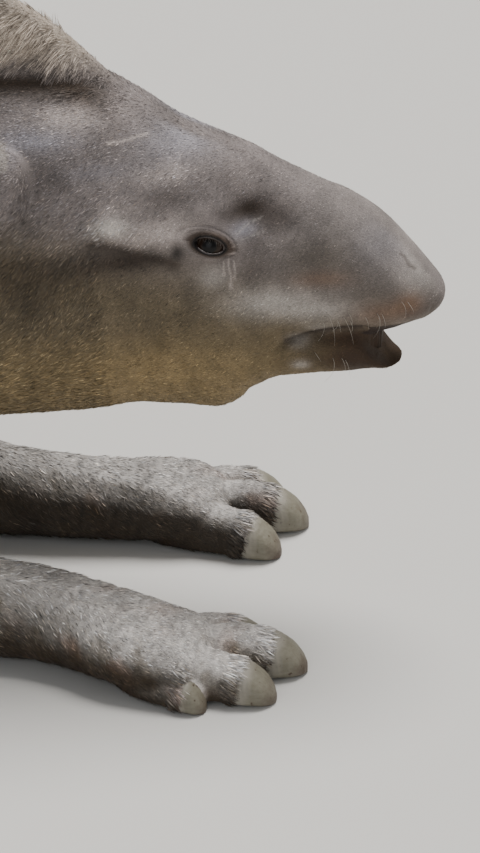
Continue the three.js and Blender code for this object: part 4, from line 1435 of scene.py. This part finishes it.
# The lids' wet margin: a thin roll round the slit, lying on the eyeball
def makeLidRims():
    steps, sides = 96, 10
    t = np.linspace(0, 2 * pi, steps, endpoint=False)
    a = eyes["halfLength"] * np.cos(t) * 0.97
    b = np.sin(t) * np.where(np.sin(t) > 0, eyes["openAbove"], eyes["openBelow"]) * 0.99
    ball = np.sqrt(np.maximum((eyes["radius"] + 0.5) ** 2 - a * a - b * b, 0))
    corner = ease(10, 16, np.abs(a))
    height = ball + (7.2 - ball) * corner
    turn = np.linspace(0, 2 * pi, sides, endpoint=False)
    parts = []
    for side in (1, -1):
        along, up, out = eyeAxes(side)
        centre = sided(eyes["centre"], side)
        path = centre + along * a[:, None] + up * b[:, None] + out * height[:, None]
        way = unit(np.roll(path, -1, 0) - np.roll(path, 1, 0))
        outward = unit(out - way * (way @ out)[:, None])
        across = np.cross(way, outward)
        size = lids["rim"] * (1 - 0.3 * corner)
        ring = path[:, None] + (
            across[:, None] * np.cos(turn)[None, :, None] + outward[:, None] * np.sin(turn)[None, :, None]
        ) * size[:, None, None]
        faces = gridFaces(steps, sides).tolist()
        last = (steps - 1) * sides
        faces += [[last + j, last + (j + 1) % sides, (j + 1) % sides, j] for j in range(sides)]
        parts.append(addMesh("lidRim", toFrame(ring.reshape(-1, 3)), faces))
    obj = joined("lidRims", parts)
    outwardFaces(obj)
    smoothShaded(obj)
    finish = Finish("lidMargin")
    fleck = finish.noise(finish.place(), 600, 3.0)
    colour = finish.mix(fleck, linear(24, 18, 17), linear(66, 50, 46))
    finish.set(Base_Color=colour, Roughness=0.25 + fleck * 0.2, Normal=finish.bump(fleck, 0.3, 0.0003))
    finish.set(Coat_Weight=0.6, Coat_Roughness=0.1)
    dress(obj, finish.material)


def outwardFaces(obj):
    work = bmesh.new()
    work.from_mesh(obj.data)
    bmesh.ops.recalc_face_normals(work, faces=work.faces)
    work.to_mesh(obj.data)
    work.free()


# Hair strand: a three-sided tube that thins to its tip along a bent path
def strands(name, roots, ways, bends, lengths, radius, steps=7):
    roots, ways, bends, lengths = (np.array(values) for values in (roots, ways, bends, lengths))
    t = np.linspace(0, 1, steps)[None, :, None]
    run = t * lengths[:, None, None]
    path = roots[:, None] + ways[:, None] * run + bends[:, None] * t * run
    way = unit(np.gradient(path, axis=1))
    side = unit(np.cross(way, unit(bends + 1e-3)[:, None]))
    up = np.cross(side, way)
    turn = np.arange(3) * 2 * pi / 3
    thick = (radius * (1 - 0.82 * t[0, :, 0]))[None, :, None, None]
    around = side[:, :, None] * np.cos(turn)[:, None] + up[:, :, None] * np.sin(turn)[:, None]
    ring = path[:, :, None] + thick * around
    count = len(roots)
    one = gridFaces(steps, 3)
    faces = (one[None] + np.arange(count)[:, None, None] * steps * 3).reshape(-1, 4).tolist()
    first = np.arange(count)[:, None] * steps * 3
    faces += (first + [2, 1, 0]).tolist() + (first + (steps - 1) * 3 + [0, 1, 2]).tolist()
    obj = addMesh(name, toFrame(ring.reshape(-1, 3)), faces)
    outwardFaces(obj)
    smoothShaded(obj)
    return obj


whiskers = {
    "count": 17,
    "length": (10, 27),
    "radius": 0.2,
    # x, z, spread in x, spread in z, share of the hairs
    "beds": [(298, 300, 26, 9, 0.6), (292, 262, 26, 9, 0.28), (345, 308, 8, 6, 0.12)],
}


def onSkin(tree, p):
    place, normal, _, _ = tree.find_nearest(Vector(toFrame(p)))
    return toTable(np.array(place)), np.array(normal)


def makeWhiskers(tree):
    roots, ways, bends, lengths = [], [], [], []
    for side in (1, -1):
        for x, z, wide, tall, part in whiskers["beds"]:
            for _ in range(int(whiskers["count"] * part)):
                guess = (x + draw.uniform(-wide, wide), side * 60, z + draw.uniform(-tall, tall))
                root, normal = onSkin(tree, guess)
                roots.append(root)
                ways.append(unit(normal * 0.6 + [draw.uniform(0.3, 0.7), 0, draw.uniform(-0.9, -0.5)]))
                bends.append(np.array([draw.uniform(-1.0, -0.2), -side * 0.4, draw.uniform(-0.4, 0.0)]))
                lengths.append(draw.uniform(*whiskers["length"]))
    obj = strands("whiskers", roots, ways, bends, lengths, whiskers["radius"])
    finish, fleck = hairFinish("whiskerHair", 120, linear(150, 140, 128), linear(214, 208, 198))
    finish.set(Roughness=0.4 + fleck * 0.1)
    dress(obj, finish.material)


# Plain hair between two colours, and the noise that mixes them
def hairFinish(name, scale, dark, pale):
    finish = Finish(name)
    fleck = finish.noise(finish.place(), scale, 2.0)
    finish.set(Base_Color=finish.mix(fleck, dark, pale))
    return finish, fleck


def makeLashes():
    roots, ways, bends, lengths = [], [], [], []
    for side in (1, -1):
        along, up, out = eyeAxes(side)
        for t in np.linspace(0.3, 2.6, lids["lashes"]):
            a, b = eyes["halfLength"] * cos(t), eyes["openAbove"] * sin(t)
            lift = np.sqrt(max((eyes["radius"] + 0.8) ** 2 - a * a - b * b, 40))
            roots.append(sided(eyes["centre"], side) + along * a + up * b + out * lift)
            ways.append(unit(out * 0.9 + along * (0.25 * cos(t)) + up * draw.uniform(-0.3, 0.0)))
            bends.append(up * draw.uniform(-0.5, -0.1) + along * draw.uniform(-0.15, 0.15))
            lengths.append(lids["lashLength"] * draw.uniform(0.6, 1.1))
    obj = strands("lashes", roots, ways, bends, lengths, lids["lashRadius"], 5)
    finish, _ = hairFinish("lashHair", 300, linear(30, 24, 20), linear(74, 62, 52))
    finish.set(Roughness=0.5)
    dress(obj, finish.material)


hooves = {
    "thick": 1.9,
    "proud": 0.1,
    "dark": linear(62, 44, 31),
    "horn": linear(92, 87, 72),
    "pale": linear(124, 120, 106),
    "grown": linear(152, 147, 138),  # new horn below the cuticle
    "sunk": 1.9,  # how deep the horn starts under the skin's edge
}


# Hoof: the toe's own outline from the slanted cuticle to the tip, with a rim that turns in under the skin
def hoofRings(toe):
    angle = np.linspace(0, 2 * pi, 72, endpoint=False)[None, :]
    share = np.linspace(0, 1, 44)[:, None]
    rise = 0.4 + np.where(np.sin(angle) > 0, 0.6, 0.4) * np.sin(angle)
    start = cuticle(rise) + 0.012 * np.cos(2 * angle)
    u = start + (1.0 - start) * share**0.8
    outer = toePoint(toe, u, np.broadcast_to(angle, u.shape), hooves["proud"])
    ridge = 0.14 * np.sin(u * 150 + 2 * np.sin(angle * 3)) * (1 - share)
    flare = toePoint(toe, u, np.broadcast_to(angle, u.shape), hooves["proud"] + 1) - outer
    sunk = hooves["sunk"] * (1 - ease(0, 0.3, share))
    outer = outer + flare * (ridge - sunk)[..., None]
    turned = toePoint(toe, start - 0.006, angle, hooves["proud"] - hooves["sunk"] - 0.6)
    inner = toePoint(toe, start + 0.06, angle, hooves["proud"] - hooves["thick"] - 1)
    rings = np.concatenate([inner, turned, outer])
    rings[..., 2] = np.maximum(rings[..., 2], 0.15)
    levels = np.concatenate([[0, 0], share[:, 0]])
    return rings, np.broadcast_to(levels[:, None], rings.shape[:2]), np.broadcast_to(rise, rings.shape[:2])


def makeHooves():
    parts, levels, heights = [], [], []
    for toe in allToes:
        rings, level, rise = hoofRings(toe)
        parts.append(tube("hoof", rings))
        levels += [level.ravel(), [0, 1]]
        heights += [rise.ravel(), [0.5, 0.5]]
    obj = joined("hooves", parts)
    addLayer(obj.data, "alongHoof", np.concatenate(levels))
    addLayer(obj.data, "upHoof", np.concatenate(heights))
    outwardFaces(obj)
    smoothShaded(obj)
    finish = Finish("hoofHorn")
    along, up = finish.attribute("alongHoof", 2), finish.attribute("upHoof", 2)
    streaks = finish.noise(finish.place((0.16, 1, 1)), 420, 4.0, 0.65)
    cloud = finish.noise(finish.place(), 70, 4.0)
    pits = finish.noise(finish.place(), 210, 2.0)
    worn = (along - 0.5) * 1.5 + (cloud - 0.5) * 1.6 - up * 0.25
    colour = finish.mix(streaks, hooves["horn"], hooves["pale"])
    colour = finish.mix((0.42 - along) * 2.4 + (cloud - 0.5), colour, hooves["grown"])
    colour = finish.mix(worn, colour, hooves["dark"])
    colour = finish.mix((pits - 0.66) * 14, colour, hooves["dark"])
    bump = finish.bump(streaks + cloud * 0.6 - pits * 0.5, 0.5, 0.0008)
    finish.set(Base_Color=colour, Roughness=0.42 + cloud * 0.25, Normal=bump)
    dress(obj, finish.material)
    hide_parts(*[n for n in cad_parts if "hoof" in n])


mane = {
    "locks": 3600,
    "hairs": 11,  # in each lock
    "length": (14, 20),  # on the crest's sides and on its top
    "spread": 2.5,  # of a lock's roots
    "gather": 0.4,  # how far its tips draw together
    "breadth": 0.27,
}


# Mane: locks of fine blades of seven points; each lock leaves the crest backward and bends over and down
def makeMane(tree):
    locks = mane["locks"] // 1
    x = draw.uniform(-470, 112, locks)
    section = body["crest"]
    half, top = through(section[:, 0], section[:, 3], x), through(section[:, 0], section[:, 1], x)
    share = draw.uniform(-1, 1, locks)
    foot = creaseLevel(x) + draw.uniform(1, 11, locks)
    aside = np.sign(share) * half * 1.3 * np.sqrt(np.abs(share))
    guess = np.stack([x, aside, top + (foot - top) * share**2], -1)
    found = [onSkin(tree, g) for g in guess]
    heart = np.array([f[0] for f in found])
    out = np.array([f[1] for f in found])
    onTop = ease(0.2, 0.9, out[:, 2])
    ahead = ease(-60, 70, x)
    side = np.sign(heart[:, 1])
    wave = uneven(heart, 44, 1.5)
    back = np.stack([
        -1 + 0.5 * ahead,
        side * 0.2 * (1 - onTop),
        0.12 * onTop + 0.1 * (1 - onTop) - 0.45 * ahead + 0.35 * wave,
    ], -1)
    lie = unit(unit(back - out * (back * out).sum(1)[:, None]) + out * (0.30 + 0.12 * onTop)[:, None])
    lie = unit(lie + draw.normal(0, 0.2, (locks, 3)))
    droop = np.stack([-0.2 + 0.1 * ahead, 0.12 * side, -0.75 - 0.25 * (1 - onTop)], -1)
    fade = ease(-470, -330, x) * ease(120, 20, x)
    low, high = mane["length"]
    size = (low + (high - low) * onTop) * (0.34 + 0.66 * fade) * draw.uniform(0.75, 1.2, locks)
    size *= 1 - 0.35 * share**4
    each = np.repeat(np.arange(locks), mane["hairs"])
    count = len(each)
    across = unit(np.cross(out, lie))
    spread = draw.normal(0, mane["spread"], (count, 2))
    offset = across[each] * spread[:, :1] + unit(np.cross(across, out))[each] * spread[:, 1:]
    root = heart[each] + offset
    out, lie, droop, x = out[each], lie[each], droop[each], x[each]
    long = size[each] * draw.uniform(0.7, 1.15, count)
    lie = unit(lie + draw.normal(0, 0.05, (count, 3)))
    roll = draw.normal(0, 0.7, count)[:, None]
    flat = across[each] * np.cos(roll) + out * np.sin(roll)
    base = root - out * 1.1
    steps = np.array([0, 0.4, 0.75, 1.0])
    path = base[:, None] + lie[:, None] * (steps * long[:, None])[..., None]
    path = path + droop[:, None] * (steps**2 * long[:, None] * 0.55)[..., None]
    path = path - offset[:, None] * (steps * mane["gather"])[None, :, None]
    broad = flat * mane["breadth"]
    points = np.stack([
        path[:, 0] - broad, path[:, 0] + broad, path[:, 1] + broad * 0.9, path[:, 1] - broad * 0.9,
        path[:, 2] + broad * 0.6, path[:, 2] - broad * 0.6, path[:, 3],
    ], 1)
    zone = np.full(count, "neck")
    vary = np.exp(draw.normal(0, 0.12, locks)[each] + draw.normal(0, 0.32, count))
    tone = markingsAndLight(root, out, zone, zone) * vary[:, None]
    around = np.arctan2(root[:, 1], root[:, 2] - 470) / pi + 0.5
    place = np.stack([np.clip(around, 0, 1), (x + 470) / 590], -1)
    obj = bladePiece("mane", points, tone, place, maneBlade)
    dress(obj, bpy.data.materials["coatHair"])


def makeFloor():
    half = 60
    corners = np.array([(-half, -half, 0), (half, -half, 0), (half, half, 0), (-half, half, 0)], float)
    floor = addMesh("floor", corners - [0, 0, 0.0005], [[0, 1, 2, 3]])
    finish = Finish("studioFloor")
    finish.set(Base_Color=(*studio["floor"], 1), Roughness=0.85)
    floor.data.materials.append(finish.material)


makeCamera()
makeLights()
makeFloor()
skin = makeSkin()
makeCoat(skin)
print("coat done")
skinPoints, _ = meshArrays(skin.data)
skinTree = BVHTree.FromPolygons(skinPoints.tolist(), [tuple(f.vertices) for f in skin.data.polygons])
makeEyes()
makeLidRims()
makeLashes()
makeWhiskers(skinTree)
makeHooves()
makeMane(skinTree)
print("pieces done")
